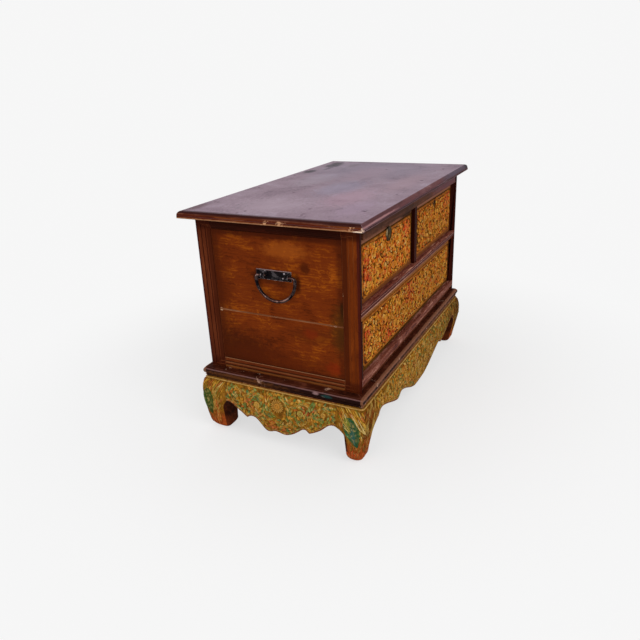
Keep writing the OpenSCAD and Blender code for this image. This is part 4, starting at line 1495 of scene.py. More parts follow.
@dataclass
class Leg:
    """A leg: its curved block, its feathered top, its knee leaf and its red toe."""

    side_x: int
    side_y: int
    shape: StandShape = field(default_factory=StandShape)
    front: bool = field(init=False)

    def __post_init__(self) -> None:
        """Works out whether it is a front leg."""
        self.front = self.side_y < 0

    def _lay(self, relief: Relief, side: Side, motif: Motif, foot: Pair, tip: Pair, width: float, rise: float,
             bend: float, colour: str, rim: str) -> None:
        """Adds an element to a face.

        Args:
            relief: the leg's carving.
            side: the face.
            motif: the element.
            foot: where it starts: the distance from the leg's outer edge, and the height.
            tip: where it ends, in the same way.
            width: its width.
            rise: its height.
            bend: how far its tip bends away from the outer edge, as a share of its length.
            colour: its colour.
            rim: the colour of its border.
        """
        way = self.side_x * self.side_y * side.value
        du, dv = way * (tip[0] - foot[0]), tip[1] - foot[1]
        relief.cut(Cut(motif, way * foot[0], foot[1], math.atan2(-du, dv), math.hypot(du, dv), width, rise, way * bend,
                       colour, rim))

    def _feathers(self, relief: Relief, chisel: Chisel, side: Side, dice: random.Random) -> None:
        """Adds the slanting strokes over a face, from the seam toward the outer edge.

        Args:
            relief: the carving that it joins.
            chisel: the carved elements.
            side: the face.
            dice: the source of chance.
        """
        paints, shares = {
            Side.END: (("bc8424", "cc9c38", "a4701f", "b0602a", "7c6c20", "d0b068"), (0.26, 0.2, 0.2, 0.16, 0.1, 0.08)),
            Side.LONG: (("804414", "925a18", "663808", "8c4012", "4a3408", "a0702c"),
                        (0.26, 0.14, 0.24, 0.18, 0.12, 0.06)),
        }[side]
        for row in range(8):
            for k in range(12):
                start = 71 - 6 * k - 3 * (row % 2) + dice.uniform(-2, 2)
                top = 162 - 9.5 * row + dice.uniform(-3, 3)
                limit = self.shape.reach(top - 14, self.front, side is Side.END) - 3
                colour = dice.choices(paints, shares)[0]
                rim = dice.choice(("ccac58", colour, colour)) if self.front else colour
                motif = chisel.hollow if dice.random() < 0.5 else chisel.leaf
                tip = start - 9 + dice.uniform(-3, 3)
                if 2 < start < limit:
                    self._lay(relief, side, motif, (start, top), (tip, top - 15 + dice.uniform(-4, 3)), 3.5, 1.5, -0.12,
                              colour, rim)

    def _shank(self, relief: Relief, chisel: Chisel, side: Side, dice: random.Random) -> None:
        """Adds the upright strokes of the shank, which meet over the toe.

        Args:
            relief: the carving that it joins.
            chisel: the carved elements.
            side: the face.
            dice: the source of chance.
        """
        upper, lower = ("985418", "a04a14", "7c5418", "a8621c"), ("a83c14", "b04a18", "8c3410")
        for level, foot, colours in ((92, 62, upper), (74, 46, upper), (58, 32, upper), (42, 20, lower)):
            wide = self.shape.reach(foot, self.front, side is Side.END) - 8
            for k in range(8):
                d = 4 + wide * k / 7.5 + dice.uniform(-1.5, 1.5)
                colour = dice.choice(colours)
                self._lay(relief, side, chisel.hollow, (d, level + dice.uniform(-8, 4)),
                          (12 + (d - 12) * 0.86, foot + dice.uniform(-5, 6)), 3.6, 1.1, 0.0, colour, colour)

    def _front_leaves(self, chisel: Chisel) -> Iterator[tuple]:
        """Gives the knee leaf, the pale strokes round it and the toe's strokes of a front leg.

        Args:
            chisel: the carved elements.

        Returns:
            The elements, one by one, each with the rest of what _lay takes.
        """
        yield chisel.knee_leaf, (44, 141), (20, 54), 42, 3.4, 0.1, "184c30", "2c5c2c"
        yield chisel.knee_leaf, (50, 140), (38, 92), 16, 4.4, 0.1, "6c7428", "8c8430"
        yield chisel.knee_leaf, (34, 116), (22, 60), 13, 4.6, 0.1, "28584c", "34604c"
        yield chisel.leaf, (48, 96), (30, 78), 10, 4.8, 0.0, "1c7048", "2c6838"
        yield chisel.hollow, (56, 132), (40, 112), 5, 5.0, 0.0, "a88c34", "b89c48"
        yield chisel.hollow, (50, 126), (34, 104), 4, 5.2, 0.0, "98842c", "b89c48"
        for stroke in (((52, 148), (42, 124), 3.0), ((33, 150), (14, 122), 2.6), ((16, 142), (-6, 102), 3.0),
                       ((22, 132), (6, 112), 2.0), ((56, 112), (38, 104), 3.6), ((58, 120), (44, 110), 3.0),
                       ((4, 116), (-6, 100), 2.4)):
            yield chisel.petal, *stroke, 5.0, -0.1, "d0ac58", "e0cc94"
        for stroke in (((37, 36), (30, 17), 6.0), ((30, 41), (27, 15), 6.0), ((22, 44), (21, 14), 7.0),
                       ((13, 38), (16, 16), 6.0)):
            yield chisel.hollow, *stroke, 2.2, 0.0, "b04018", "a84c20"

    def _back_leaves(self, chisel: Chisel, dice: random.Random) -> Iterator[tuple]:
        """Gives the knee leaf, the small strokes beside it and the orange-brown strokes of a back leg.

        Args:
            chisel: the carved elements.
            dice: the source of chance.

        Returns:
            The elements, one by one, each with the rest of what _lay takes.
        """
        yield chisel.knee_leaf, (18, 134), (20, 52), 34, 3.4, 0.0, "2c4414", "3c5018"
        yield chisel.knee_leaf, (10, 120), (8, 76), 14, 4.4, 0.0, "1c4c1c", "4c641c"
        for k in range(26):
            d, level = 34 + 24 * dice.random(), 146 - 2.9 * k
            yield (chisel.hollow, (d, level), (d - 5 - 4 * dice.random(), level - 13), 4.2, 2.2, -0.1,
                   dice.choice(("b88028", "a86c20", "94701c", "b06024", "788030")), "b89044")
        for stroke in (((46, 104), (44, 62), 7.0), ((45, 70), (38, 30), 8.0), ((38, 50), (30, 20), 6.0)):
            yield chisel.hollow, *stroke, 2.4, -0.12, "a44c18", "b8702c"

    def _fill_out(self, block: Piece) -> None:
        """Makes the shank as full, from front to back, and the foot as round as the photographed one.

        Args:
            block: the leg's block.
        """
        shape = self.shape
        points = np.array([vertex.co for vertex in block.data.vertices]) / MM
        z = points[:, 2]
        packed, wanted = ((shape.packed_front, shape.foot_front) if self.front
                          else (shape.packed_back, shape.foot_back))
        for axis, side, corner, old, new in ((0, self.side_x, shape.half_x, shape.foot_x, shape.foot_x),
                                             (1, self.side_y, shape.half_y, packed, wanted)):
            low, high = shape.span(z, old)
            share = (np.abs(points[:, axis]) - corner - (low + high) / 2) / shape.half(z, low, high, shape.round_front)
            low, high = shape.span(z, new)
            half = shape.half(z, low, high, shape.round_front if self.front else shape.round_back)
            points[:, axis] = side * (corner + (low + high) / 2 + share * half)
        block.data.vertices.foreach_set("co", (points * MM).ravel())
        block.data.update()

    def _zone(self, middle: Vector, normal: Vector) -> int | None:
        """Gives the slot of the faces that look inwards under the chest."""
        inner_x, inner_y = 0.41, 0.2 if self.front else 0.212
        looks_in_x = normal.x * self.side_x < -0.3 and middle.x * self.side_x < inner_x
        looks_in_y = normal.y * self.side_y < -0.3 and middle.y * self.side_y < inner_y
        return 1 if looks_in_x or looks_in_y else None

    def build(self, chisel: Chisel, finishes: "Finishes") -> None:
        """Makes the block and its carving.

        Args:
            chisel: the carved elements.
            finishes: the chest's finishes.
        """
        name = f"{'front' if self.front else 'back'}_{'left' if self.side_x < 0 else 'right'}_leg"
        block = copy_of(name, "_block", finishes.leg, finishes.inside)
        self._fill_out(block)
        sort_faces(block, self._zone)
        smooth(block, 50)
        mount(block, Body.CASE, Slot.LEG, name)

        relief = Relief(LegFace(self.shape, self.side_x, self.side_y))
        dice = random.Random(77 + self.side_x + 3 * self.side_y)
        for side in Side:
            self._feathers(relief, chisel, side, dice)
            self._shank(relief, chisel, side, dice)
        for leaf in self._front_leaves(chisel) if self.front else self._back_leaves(chisel, dice):
            self._lay(relief, Side.END, *leaf)
        relief.stem(np.array([(u, Apron.rail) for u in np.linspace(-74, 74, 40)]), (2.8, 2.8), 1.2, "b88a48")
        relief.mount(name + "_carving", finishes.stand_carving, Body.CASE, Slot.LEG)


@dataclass
class Stand:
    """The stand: four aprons between four legs. An apron's edge runs from its middle, in shares of its half."""

    shape: StandShape = field(default_factory=StandShape)

    def build(self, chisel: Chisel, finishes: "Finishes") -> None:
        """Makes the aprons and the legs.

        Args:
            chisel: the carved elements.
            finishes: the chest's finishes.
        """
        shoulder = ((0.83, 0.83), (0.89, 1), (0.97, 1), 8)
        front = outline(
            (0, 0.02), ((0.03, 0), (0.07, -0.01), (0.10, 0.005), 4), ((0.20, 0.06), (0.27, 0.20), (0.33, 0.31), 8),
            ((0.38, 0.41), (0.41, 0.49), (0.46, 0.50), 5), ((0.49, 0.50), (0.50, 0.38), (0.535, 0.36), 5),
            ((0.62, 0.44), (0.70, 0.56), (0.76, 0.67), 5), shoulder) + [(1, 0.985)]
        back = outline(
            (0, 0.02), ((0.05, 0.05), (0.10, 0.10), (0.15, 0.035), 5), ((0.19, -0.02), (0.25, -0.05), (0.29, 0.03), 6),
            ((0.36, 0.19), (0.40, 0.46), (0.47, 0.53), 8), ((0.53, 0.58), (0.57, 0.53), (0.62, 0.44), 5),
            ((0.67, 0.50), (0.69, 0.60), (0.76, 0.70), 5), ((0.83, 0.82), *shoulder[1:])) + [(1, 0.985)]
        long = outline(
            (0, 0), ((0.04, 0), (0.08, 0), (0.12, 0.02), 4), ((0.24, 0.14), (0.35, 0.45), (0.43, 0.56), 8),
            ((0.47, 0.63), (0.51, 0.68), (0.53, 0.62), 5), ((0.55, 0.54), (0.57, 0.48), (0.60, 0.51), 5),
            ((0.70, 0.63), (0.83, 0.94), (0.92, 1), 8), ((0.96, 1.02), (0.985, 0.93), (1, 0.84), 5))
        half_long, half_end = self.shape.half_x - self.shape.block_w, self.shape.half_y - self.shape.block_w
        for quarter, (name, half, arch, edges) in enumerate((
                ("front", half_long, 124.0, (long, long)), ("right", half_end, 108.0, (front, back)),
                ("back", half_long, 124.0, (long, long)), ("left", half_end, 108.0, (back, front)))):
            Apron(name, quarter, half, arch, edges).build(chisel, finishes)
        for side_x in (-1, 1):
            for side_y in (-1, 1):
                Leg(side_x, side_y).build(chisel, finishes)


# Ironwork


@dataclass
class Ironwork:
    """Handles, locks and the keyhole plate."""

    plate_edge: float = 0.0007
    eye_edge: float = 0.0005
    key_edge: float = 0.0006
    shortest: float = 0.0004

    @staticmethod
    def _filed(node: str, body: Body, edge: float, shortest: float, *materials: Material) -> None:
        """Makes a copy of a node with filed edges, in its place.

        Args:
            node: the node.
            body: its body.
            edge: the width of its filed edges.
            shortest: the shortest edge that is filed.
            *materials: the finishes of its faces and its edges.
        """
        piece = copy_of(node, "_iron", *materials)
        soften(piece, edge, shortest)
        mount(piece, body, Slot.IRON, node)

    def build(self, finishes: "Finishes") -> None:
        """Dresses the ironwork, and files the sharp edges of what hands touch.

        Args:
            finishes: the chest's finishes.
        """
        # The filed edges of the plates and eyes take the lighter edge finish: wear and painted highlights.
        plate = finishes.plate, finishes.iron_edge_wear_and_highlight
        for side, body, way in (("left", Body.LEFT_BAIL, -1), ("right", Body.RIGHT_BAIL, 1)):
            dress_nodes(finishes.iron, side + "_lock", side + "_bolt")
            self._filed(side + "_handle_plate", Body.CASE, self.plate_edge, 0.003, *plate)
            self._filed(side + "_handle_eyes", Body.CASE, self.eye_edge, self.shortest, *plate)
            bail = copy_of(side + "_bail", "_iron", finishes.iron, finishes.bail_highlight)
            # The bail's faces that look up and outwards take the painted highlight.
            out = Vector((way * 0.87, 0, 0.5))
            sort_faces(bail, lambda middle, normal: 1 if normal.dot(out) > 0.9 and middle.y < 0.058 else 0)
            smooth(bail, 45)
            mount(bail, body, Slot.IRON, side + "_bail")
        self._filed("escutcheon", Body.LEFT_DRAWER, self.key_edge, self.shortest, finishes.key_plate, finishes.key_edge)


# Finishes of this chest


def stains_on(plane: Callable[[float, float], Triple], size: Callable[[float, float], Triple],
              rows: Iterable[tuple]) -> tuple[Spot, ...]:
    """Makes the spots of a flat face: stains, and painted shadows, highlights and sheen.

    Args:
        plane: gives a place on the face.
        size: gives a spot's size in space.
        rows: for each spot its place and size on the face, its colour, its strength and how ragged it is.

    Returns:
        The spots.
    """
    return tuple(Spot(plane(*row[:2]), size(*row[2:4]), *row[4:]) for row in rows)


def end_stains(*rows: tuple) -> tuple[Spot, ...]:
    """Makes spots on the planes of the ends, from y, z, their half sizes, and the rest of a spot: stains and painted
    shadow on the end boards, painted glints on the handle plates.
    """
    return stains_on(lambda y, z: (0, y, z), lambda y, z: (2, y, z), rows)


def top_stains(*rows: tuple) -> tuple[Spot, ...]:
    """Makes spots on the top, from x, y, their half sizes, and the rest of a spot: stains, and patches of painted
    sheen.
    """
    return stains_on(lambda x, y: (x, y, 0.633), lambda x, y: (x, y, 0.05), rows)


class Finishes:
    """Every finish of the chest, as materials."""

    def __init__(self) -> None:
        """Writes the materials."""
        self._effects = Effects()
        self._along_x, self._along_y, self._along_z = (0.05, 1.0, 1.0), (1.0, 0.05, 1.0), (1.0, 1.0, 0.05)
        self._ends()
        self._frame()
        self._top()
        self._drawers()
        self._stand()
        self._iron()

    def _wood(self, *values: object, **more: object) -> Material:
        """Writes a wood finish."""
        return WoodFinish(*values, **more).material(self._effects)

    def _paint(self, *values: object, **more: object) -> Material:
        """Writes a paint finish."""
        return PaintFinish(*values, **more).material(self._effects)

    def _metal(self, *values: object, **more: object) -> Material:
        """Writes an iron finish."""
        return IronFinish(*values, **more).material(self._effects)

    def _ends(self) -> None:
        """Writes the finishes of the chest's ends: the boards, the posts and the rails beside them."""
        # Painted shade on the end boards: under the top's overhang, along the foot rail and beside the posts.
        shade_beside_frame = (Band(Z, 0.2, 0.226, 0.02, "3c1406", 0.6), Band(Z, 0.577, 0.7, 0.012, "3a1205", 0.75, 0.8),
                  Band(Y, 0.174, 0.3, 0.014, "3c1406", 0.6, 0.9))
        # The dark spots round the handle, at y 0.056, -0.06 and 0, are its painted shadow; the other dark spots darken
        # the board in patches, most toward its back edge and its bottom; the pale spot at the joint is a chip.
        stains_and_handle_shadow = end_stains(
            (0.2, 0.42, 0.09, 0.32, "481904", 0.7), (0.14, 0.25, 0.19, 0.1, "3c1404", 0.85),
            (0.056, 0.468, 0.014, 0.03, "2c0e04", 0.7), (-0.06, 0.462, 0.014, 0.034, "2c0e04", 0.7),
            (0.0, 0.461, 0.055, 0.01, "3c1606", 0.6), (0.176, 0.3665, 0.006, 0.006, "c09c7c", 0.95),
            (-0.178, 0.41, 0.007, 0.035, "1c0a04", 0.8), (-0.16, 0.254, 0.016, 0.022, "7c2008", 0.2),
            (-0.1, 0.33, 0.1, 0.035, "4c1c06", 0.55), (0.02, 0.25, 0.2, 0.04, "4c1a05", 0.6),
            (-0.03, 0.545, 0.09, 0.03, "9a4e16", 0.55), (-0.09, 0.335, 0.03, 0.02, "7c2408", 0.4),
            (-0.15, 0.25, 0.03, 0.025, "7c2208", 0.4, 1.4), (-0.17, 0.36, 0.035, 0.09, "3a2408", 0.6),
            (-0.083, 0.505, 0.02, 0.022, "3c1404", 0.75))
        self.side = self._wood("side_wood", "461803", "682908", "92480c", (1.0, 0.075, 1.0), 230, 0.52, bands=shade_beside_frame,
                               stains=stains_and_handle_shadow)
        self.joint = self._wood("joint_edge", "5c3018", "7c4c30", "9c7050", self._along_y, 80, worn=0.2, bare="bc967c")
        # Painted shade on the posts: a strip at the outer corner, the quirk beside the panel, the foot, and the top
        # under the overhang.
        post_shade = (Band(Y, 0.2225, 0.3, 0.003, "340c10", 0.75), Band(Y, 0.183, 0.1945, 0.0012, "3c1405", 0.8, 0.5),
                  Band(Z, 0.0, 0.215, 0.015, "3a1206", 0.7), Band(Z, 0.592, 0.7, 0.015, "300c04", 0.8))
        self.post = self._wood("post_wood", "4a1a05", "662a08", "803c10", self._along_z, 110, bands=post_shade)
        self.back_post = self._wood("back_post_wood", "3c1408", "542410", "70381e", self._along_z, 110, bands=post_shade)
        self.post_worn = self._wood("post_edge", "42180a", "582610", "7c4826", self._along_z, 80, worn=0.1,
                                    bare="a87c5c")
        # The side top rails are near black as painted shade under the top's overhang; the same finish colours the side
        # boards' edges.
        self.rail = self._wood("rail_wood", "1a0602", "280a03", "3a1207", self._along_y, 110)
        self.rail_worn = self._wood("rail_edge", "1c0a05", "2c120a", "441e12", self._along_y, 80, worn=0.03)
        treads = (Band(Z, 0.2095, 0.2118, 0.0012, "885434", 0.55, 2.5),
                  Band(Z, 0.2125, 0.2145, 0.001, "200a04", 0.8, 0.8),
                  Band(Z, 0.199, 0.2024, 0.0014, "7c4c22", 0.6, 2.5),
                  Band(Z, 0.2032, 0.2052, 0.001, "200a04", 0.8, 0.8))
        self.foot = self._wood("foot_rail_wood", "3e1506", "5a240c", "763a14", self._along_y, 110, bands=treads)
        self.foot_worn = self._wood("foot_rail_edge", "44200e", "62381c", "845838", self._along_y, 120, worn=0.1,
                                    bare="a88060", bands=(Band(Z, 0.2215, 0.3, 0.0012, "9c7050", 0.5, 2.0),))

    def _frame(self) -> None:
        """Writes the finishes of the front frame, the ledge, the back and the inside."""
        self.head = self._wood(
            "head_rail_wood", "381a12", "54301f", "784a3a", self._along_x, 150, 0.3,
            # The dark band along the rail's lower edge is painted shadow of the gap over the drawers.
            bands=(Band(Z, 0.5, 0.5795, 0.004, "200a06", 0.7, 1.5),),
            stains=(Spot((0.3, -0.2285, 0.6), (0.24, 0.05, 0.03), "6a4450", 0.6),
                    Spot((-0.17, -0.2285, 0.6), (0.25, 0.05, 0.05), "241610", 0.55, 1.0)))
        self.shadow = self._wood("shaded_wood", "1e0603", "2c0a04", "421408", self._along_z, 80)
        self.front = self._wood(
            "front_wood", "3e1611", "6e382c", "ac7864", self._along_x, 170, 0.2,
            bands=(Band(Z, 0.3995, 0.4085, 0.002, "341014", 0.75, 0.8),),
            stains=(Spot((-0.23, -0.2285, 0.3915), (0.27, 0.03, 0.0075), "c8947c", 0.9),
                    Spot((0.16, -0.2285, 0.391), (0.2, 0.03, 0.005), "a06c50", 0.6)))
        # The two dark bands on the bottom rail's lower half are painted shadow of the gap over the ledge; the pale band
        # above them is a line along the rail.
        low_shade_and_line = (Band(Z, 0.19, 0.203, 0.003, "5a2a14", 0.75, 0.5), Band(Z, 0.19, 0.1965, 0.002, "2c1008", 0.8, 0.5),
                     Band(Z, 0.21, 0.217, 0.001, "a07460", 0.6, 1.5))
        self.low_front = self._wood("low_front_wood", "421812", "703c2e", "a87464", self._along_x, 170, 0.2,
                                    bands=low_shade_and_line)
        self.front_worn = self._wood("front_edge", "5c3028", "8c6058", "b08c80", self._along_x, 80, worn=0.2,
                                     bare="ccb0a4")
        both = (0.2, 0.2, 1.0)
        # The first band darkens the ledge below its nose line as painted shade.
        nose = (Band(Z, 0.1, 0.1882, 0.0012, "160908", 0.85), Band(Z, 0.1894, 0.1912, 0.0008, "7c5c5a", 0.55, 2.5),
                Band(Y, 0.2345, 0.2405, 0.0015, "84563e", 0.7, 3.0))
        chipped = (Spot((-0.4355, 0.12, 0.178), (0.02, 0.2, 0.014), "5c3418", 0.75, 1.5),
                   Spot((0.1, -0.242, 0.176), (0.56, 0.01, 0.016), "583014", 0.7, 1.2),
                   Spot((-0.4355, -0.14, 0.182), (0.02, 0.022, 0.008), "1c3c3a", 0.8),
                   Spot((-0.4355, -0.11, 0.186), (0.02, 0.012, 0.006), "8c6c6c", 0.8))
        self.ledge = self._wood("ledge_wood", "200a05", "3e190d", "643422", both, 150, 0.4, worn=0.2, bare="a07c68",
                                bands=nose, stains=chipped)
        self.ledge_worn = self._wood("ledge_edge", "38180e", "583024", "7c5648", both, 80, worn=0.2, bare="c09880",
                                     bands=nose)
        self.back = self._wood("back_wood", "301608", "4c260e", "663c1c", self._along_z, 45, rough=(0.6, 0.75))
        self.inner = self._wood("inner_wood", "7a5630", "9a7448", "b48c5c", self._along_y, 90, rough=(0.6, 0.8))

    def _top(self) -> None:
        """Writes the finishes of the top board and its pegs."""
        # The dark spots are stains; the pale pink, mauve and blue patches are painted sheen.
        clouds = top_stains(
            (0.335, 0.192, 0.06, 0.036, "2c1c22", 0.95, 1.6), (0.385, 0.2, 0.04, 0.03, "30242a", 0.9, 1.4),
            (0.196, 0.213, 0.048, 0.024, "30242a", 0.95, 1.5), (0.27, 0.18, 0.05, 0.012, "54404a", 0.8),
            (0.345, 0.12, 0.05, 0.022, "6a5658", 0.6), (0.43, 0.1, 0.02, 0.05, "54424a", 0.7),
            (-0.18, -0.1, 0.16, 0.08, "b08c9c", 0.4, 2.0), (-0.05, -0.02, 0.16, 0.08, "84849c", 0.35, 2.0),
            (0.2, 0.0, 0.18, 0.09, "a8848e", 0.4, 2.0), (-0.32, 0.06, 0.12, 0.14, "a894a0", 0.5, 2.0),
            (0.04, 0.12, 0.14, 0.07, "9c909c", 0.4, 2.0), (-0.39, 0.235, 0.06, 0.03, "5c4248", 0.8),
            (0.28, 0.02, 0.3, 0.26, "747386", 0.35, 1.5), (-0.3, -0.17, 0.12, 0.05, "9c8498", 0.5, 2.0),
            (0.05, -0.17, 0.2, 0.05, "a0848e", 0.4, 2.0))
        dots = tuple(Spot((x * MM, y * MM, 0.633), (0.006, 0.006, 0.02), "54384a", 0.85, 0.2) for x, y in (
            (-323, 214), (-424, 86), (-399, 79), (-12, 139), (-154, 80), (-335, -66), (-388, -77), (-321, -199),
            (287, -25), (105, -202), (285, -190), (342, -200)))
        # The top's mauve-grey colours are painted sheen, the pale reflection on its dark red-brown lacquer.
        self.top = self._wood("top_wood", "6a5664", "8c7683", "9e8c9a", (0.35, 1.0, 1.0), 190, 0.5, (0.4, 0.55), 0.04,
                              bands=(Band(X, 0.4345, 1.0, 0.0015, "3a1e24", 0.85, 0.8),), stains=clouds + dots)
        self.top_worn = self._wood("top_edge", "4a3036", "664a50", "8c7078", (0.3, 0.3, 1.0), 60, worn=0.1)
        # The slate spot toward the far end of the front bevel is painted sheen, as on the top.
        self.bevel = self._wood(
            "bevel_wood", "401f20", "60383a", "7e5c5e", (0.25, 0.25, 1.0), 110, 0.5, (0.4, 0.55), 0.03,
            stains=(Spot((-0.36, -0.245, 0.63), (0.22, 0.03, 0.0045), "44262a", 0.7),
                    Spot((-0.36, -0.252, 0.6235), (0.17, 0.03, 0.0045), "a87c7c", 0.75),
                    Spot((0.33, -0.25, 0.627), (0.22, 0.04, 0.03), "4c4656", 0.7, 0.5),
                    Spot((0.447, -0.25, 0.624), (0.05, 0.04, 0.02), "2a282e", 0.75, 0.4)))
        self.end_bevel = self._wood(
            "end_bevel_wood", "2c0e08", "4e2416", "784c3c", (0.3, 0.25, 1.0), 70, 0.6,
            bands=(Band(Z, 0.6292, 0.7, 0.0008, "2a1012", 0.85, 0.8),),
            stains=(Spot((-0.445, -0.2, 0.628), (0.02, 0.08, 0.0055), "2a0e0e", 0.8, 1.0),))
        self.lip = self._wood(
            "lip_wood", "34120a", "521f0e", "78401f", (0.25, 0.1, 1.0), 110, worn=0.26, bare="b48460",
            bands=(Band(Z, 0.6, 0.6178, 0.0014, "a47450", 0.72, 3.0),),
            stains=(Spot((-0.451, -0.243, 0.6162), (0.01, 0.018, 0.0036), "ecd0b8", 0.95),
                    Spot((-0.4495, -0.2525, 0.621), (0.005, 0.005, 0.0085), "e4c4ac", 0.9, 0.6)))
        self.front_lip = self._wood(
            "front_lip_wood", "200c0a", "341a16", "4c2e28", (0.1, 0.25, 1.0), 90,
            stains=(Spot((-0.4475, -0.2535, 0.6215), (0.007, 0.006, 0.0085), "d4b09c", 0.85, 0.6),))
        self.peg = self._wood("peg_wood", "4a3440", "5c4854", "6c5864", self._along_z, 60)

    def _drawers(self) -> None:
        """Writes the finishes of the drawer fronts."""
        head = (Band(Z, 0.3735, 0.392, 0.001, "905828", 0.75, 0.5), Band(Z, 0.41, 0.4295, 0.001, "844a26", 0.7, 0.5),
                Band(Z, 0.566, 0.6, 0.001, "94604a", 0.75, 0.5))
        # Painted shadow under the head rail, along the top of the upper drawers.
        shadow_under_head_rail = (Spot((-0.05, -0.215, 0.576), (0.09, 0.03, 0.02), "140804", 0.9, 0.6),
                 Spot((-0.22, -0.215, 0.577), (0.22, 0.03, 0.013), "3c1e10", 0.6))
        self.border = self._wood("border_wood", "301806", "4c2e0c", "6c4614", self._along_x, 90, bands=head,
                                 stains=shadow_under_head_rail)
        self.border_worn = self._wood("border_edge", "4c2c10", "745020", "a07838", self._along_x, 80, worn=0.15)
        # Painted shade of the right drawer's keyhole: a dark spot for the hole, on its ground, its rim and its carving.
        hole = Spot((0.1995, -0.2153, 0.55), (0.017, 0.02, 0.017), "0c0502", 1.0, 0.3)
        self.rim = self._paint("rim_paint", ("7c4410", "985416", "a86824"), 0.6, 0.12, "c89450", stains=(hole,))
        self.ground = self._paint("ground_paint", ("441c06", "562a0a", "6a3a0e"), 0.6, stains=(hole,))
        dull = Spot((0.1, -0.215, 0.31), (0.36, 0.05, 0.1), "4c2c08", 0.14, 1.2)
        self.carving = CarvedFinish("carving_paint", stains=(hole, dull)).material(self._effects)

    def _stand(self) -> None:
        """Writes the finishes of the stand."""
        shaded = (Spot((0.42, -0.25, 0.13), (0.22, 0.06, 0.1), "2c1a06", 0.36),
                  Spot((0.18, -0.25, 0.1), (0.26, 0.05, 0.09), "3c2408", 0.2))
        self.stand_carving = CarvedFinish("stand_carving_paint", "3c2006", "e4c070",
                                          stains=shaded).material(self._effects)
        self.apron = self._paint("apron_paint", ("644010", "7c5012", "94621a"), worn=0.1)
        self.apron_edge = self._paint("apron_edge_paint", ("5c2c14", "78401c", "945c3c"), worn=0.3)
        self.leg = self._paint("leg_paint", ("684410", "805414", "966420"), worn=0.15,
                               bands=(Band(Z, -0.01, 0.04, 0.035, "a0441a", 0.85, 0.8),))
        self.inside = self._paint("stand_inside", ("2a0e06", "361408", "481e0e"),
                                  bands=(Band(Z, -0.01, 0.03, 0.03, "6c3014", 0.6),))

    def _iron(self) -> None:
        """Writes the finishes of the ironwork."""
        # Painted glints on the eyes of the handle plates.
        eye_glints = end_stains(*((y, z, 0.004, 0.003, "b0a4a8", 0.8, 1.6) for y, z in (
            (0.030, 0.490), (0.034, 0.484), (0.037, 0.478), (-0.026, 0.487), (-0.031, 0.481), (-0.022, 0.474))))
        self.iron = self._metal("iron", "0a080c", "140c0c", "483a38")
        # The pale band along the plate's top edge is a painted highlight.
        self.plate = self._metal("plate_iron", "0c090c", "160e0e", "4c4648", 0.4,
                                 bands=(Band(Z, 0.4915, 0.5, 0.0006, "94706c", 0.75),), stains=eye_glints)
        # Lighter filed edges of the iron: wear and painted highlights.
        self.iron_edge_wear_and_highlight = self._metal("iron_edge_wear_and_highlight", "4c4446", "5c4c48", "b0a4a4", 0.5)
        # The bail's lighter strip is a painted highlight.
        self.bail_highlight = self._metal("bail_highlight", "4c3430", "5c4030", "a07c74", 0.45)
        # An olive-brown middle, and a pale painted glint on the upper left of the keyhole plate's rim.
        rubbed = (Spot((-0.1955, -0.217, 0.547), (0.014, 0.02, 0.014), "4e3c18", 0.8),
                  Spot((-0.2145, -0.217, 0.557), (0.007, 0.02, 0.013), "b89c70", 0.8, 0.5))
        self.key_plate = self._metal("key_plate_iron", "140e06", "2c1c0a", "5c4a20", stains=rubbed)
        self.key_edge = self._metal("key_plate_edge", "7c6030", "8c6c38", "b89c60")


# Studio


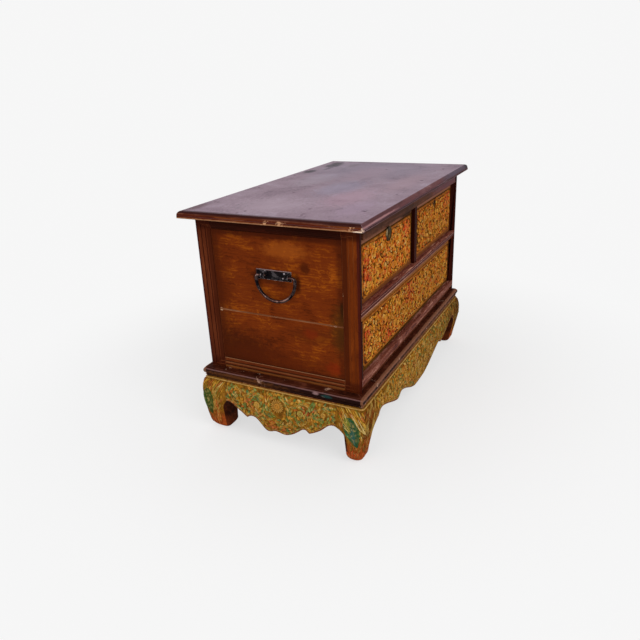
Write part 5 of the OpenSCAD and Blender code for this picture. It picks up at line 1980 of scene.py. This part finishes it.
@dataclass
class Studio:
    """The pale floor, the soft lamps and the camera."""

    place: Triple = (-1.60386, -0.74963, 0.93554)
    azimuth: float = -62.1715
    elevation: float = 22.3891
    roll: float = -2.6121
    lens: float = 33.675
    pale: float = 0.925

    def build(self) -> None:
        """Sets the studio up."""
        self._camera()
        self._world()
        self._floor()
        self._lamp("key", (-1.6, -2.6, 2.6), 2.2, 60.0)
        self._lamp("fill", (-3.2, 0.6, 1.5), 2.4, 28.0)
        self._lamp("overhead", (0.6, 0.8, 3.0), 2.6, 16.0)
        bpy.context.scene.view_settings.view_transform = "Standard"

    @staticmethod
    def _add(name: str, data: bpy.types.ID, place: Triple, turn: Matrix) -> Piece:
        """Adds an object with its data, at a place and with a turn."""
        made = bpy.data.objects.new(name, data)
        made.matrix_world = Matrix.Translation(place) @ turn.to_4x4()
        bpy.context.scene.collection.objects.link(made)
        return made

    def _camera(self) -> None:
        """Adds the camera, at the photograph's angle."""
        az, el, roll = (math.radians(a) for a in (self.azimuth, self.elevation, self.roll))
        back = Vector((math.sin(az) * math.cos(el), -math.cos(az) * math.cos(el), math.sin(el)))
        right = Vector(Z).cross(back).normalized()
        up = back.cross(right)
        turned = math.cos(roll) * right + math.sin(roll) * up
        upright = -math.sin(roll) * right + math.cos(roll) * up
        lens = bpy.data.cameras.new("camera")
        lens.lens, lens.sensor_width, lens.clip_start = self.lens, 36.0, 0.01
        bpy.context.scene.camera = self._add("camera", lens, self.place, Matrix((turned, upright, back)).transposed())

    def _lamp(self, name: str, place: Triple, size: float, power: float) -> None:
        """Adds a soft square lamp that faces the middle of the chest."""
        light = bpy.data.lights.new(name, "AREA")
        light.size, light.energy = size, power
        away = Vector(place) - Vector((0, 0, 0.3))
        self._add(name, light, place, away.to_track_quat("Z", "Y").to_matrix())

    @staticmethod
    def _seen(recipe: Recipe) -> Socket:
        """Returns 1 for rays that show the background: from the camera, mirrored, or through glass."""
        rays = recipe.node("LightPath").outputs
        direct = recipe.math("ADD", rays["Is Camera Ray"], rays["Is Glossy Ray"], clamp=True)
        return recipe.math("ADD", direct, rays["Is Transmission Ray"], clamp=True)

    def _end(self, recipe: Recipe, factor: Socket, lit: bpy.types.Node, kind: str, output: str) -> None:
        """Ends a material or a world by turning its shader into the plain background.

        Args:
            recipe: the recipe.
            factor: how much of the background shows.
            lit: the shader that gives or takes light.
            kind: the kind of shader that shows the background.
            output: the kind of output.
        """
        shown = recipe.node(kind, {"Color": (self.pale, self.pale, self.pale, 1), "Strength": 1.0})
        mixed = recipe.node("MixShader", {0: factor, 1: lit.outputs[0], 2: shown.outputs[0]})
        recipe.node(output, {"Surface": mixed.outputs[0]})

    def _world(self) -> None:
        """Lights the scene evenly, and shows a pale background."""
        world = bpy.data.worlds.new("studio")
        bpy.context.scene.world = world
        world.use_nodes = True
        recipe = Recipe(world.node_tree)
        light = recipe.node("Background", {"Color": (1, 1, 1, 1), "Strength": 0.5})
        self._end(recipe, self._seen(recipe), light, "Background", "OutputWorld")

    def _floor(self) -> None:
        """Adds the floor, which keeps the shadow near the chest and turns into the background further out."""
        bpy.ops.object.select_all(action="DESELECT")
        bpy.ops.mesh.primitive_circle_add(vertices=96, radius=9.0, fill_type="NGON", location=(0, 0, 0))
        floor = bpy.context.view_layer.objects.active
        floor.name = "floor"
        made = bpy.data.materials.new("floor")
        made.use_nodes = True
        recipe = Recipe(made.node_tree)
        near = recipe.node("BsdfDiffuse", {"Color": (0.9, 0.9, 0.9, 1)})
        away = recipe.vector("LENGTH", recipe.place())
        far = recipe.times(recipe.span(away, 0.5, 1.3, 0.68, 1.0), self._seen(recipe))
        self._end(recipe, far, near, "Emission", "OutputMaterial")
        dress(floor, made)


def main() -> None:
    """Builds the chest's looks, piece by piece."""
    logging.basicConfig(level=logging.INFO, format="%(message)s")
    finishes = Finishes()
    chisel = Chisel()
    Studio().build()
    Case().build(finishes)
    left_palette = (("d47c1c", 0.27), ("e09c34", 0.2), ("e4b464", 0.09), ("d4621c", 0.2), ("a86810", 0.1),
                    ("744a0c", 0.05), ("c04818", 0.09))
    right_palette = (("c87618", 0.22), ("d8902c", 0.14), ("d4a454", 0.05), ("c4581a", 0.17), ("985e10", 0.19),
                     ("6c440c", 0.15), ("ac4014", 0.08))
    for drawer in (
            Drawer("left_drawer", Body.LEFT_DRAWER, (-373, -26, 429.3, 562), 6, 11,
                   ((-350, 480, 45), (-340, 530, 30), (-60, 540, 40)), ((-199.5, 551.2, 18),), left_palette),
            Drawer("right_drawer", Body.RIGHT_DRAWER, (26, 373, 429.3, 562), 6, 12, ((330, 530, 40),),
                   ((199.5, 549.0, 9), (199.5, 536.0, 7)), right_palette),
            Drawer("lower_drawer", Body.LOWER_DRAWER, (-373, 373, 247.3, 374.2), 13, 13,
                   ((-30, 340, 60), (-350, 330, 40), (-200, 270, 40)))):
        drawer.build(chisel, finishes)
    Stand().build(chisel, finishes)
    Ironwork().build(finishes)
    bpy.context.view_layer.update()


if __name__ == "__main__":
    main()
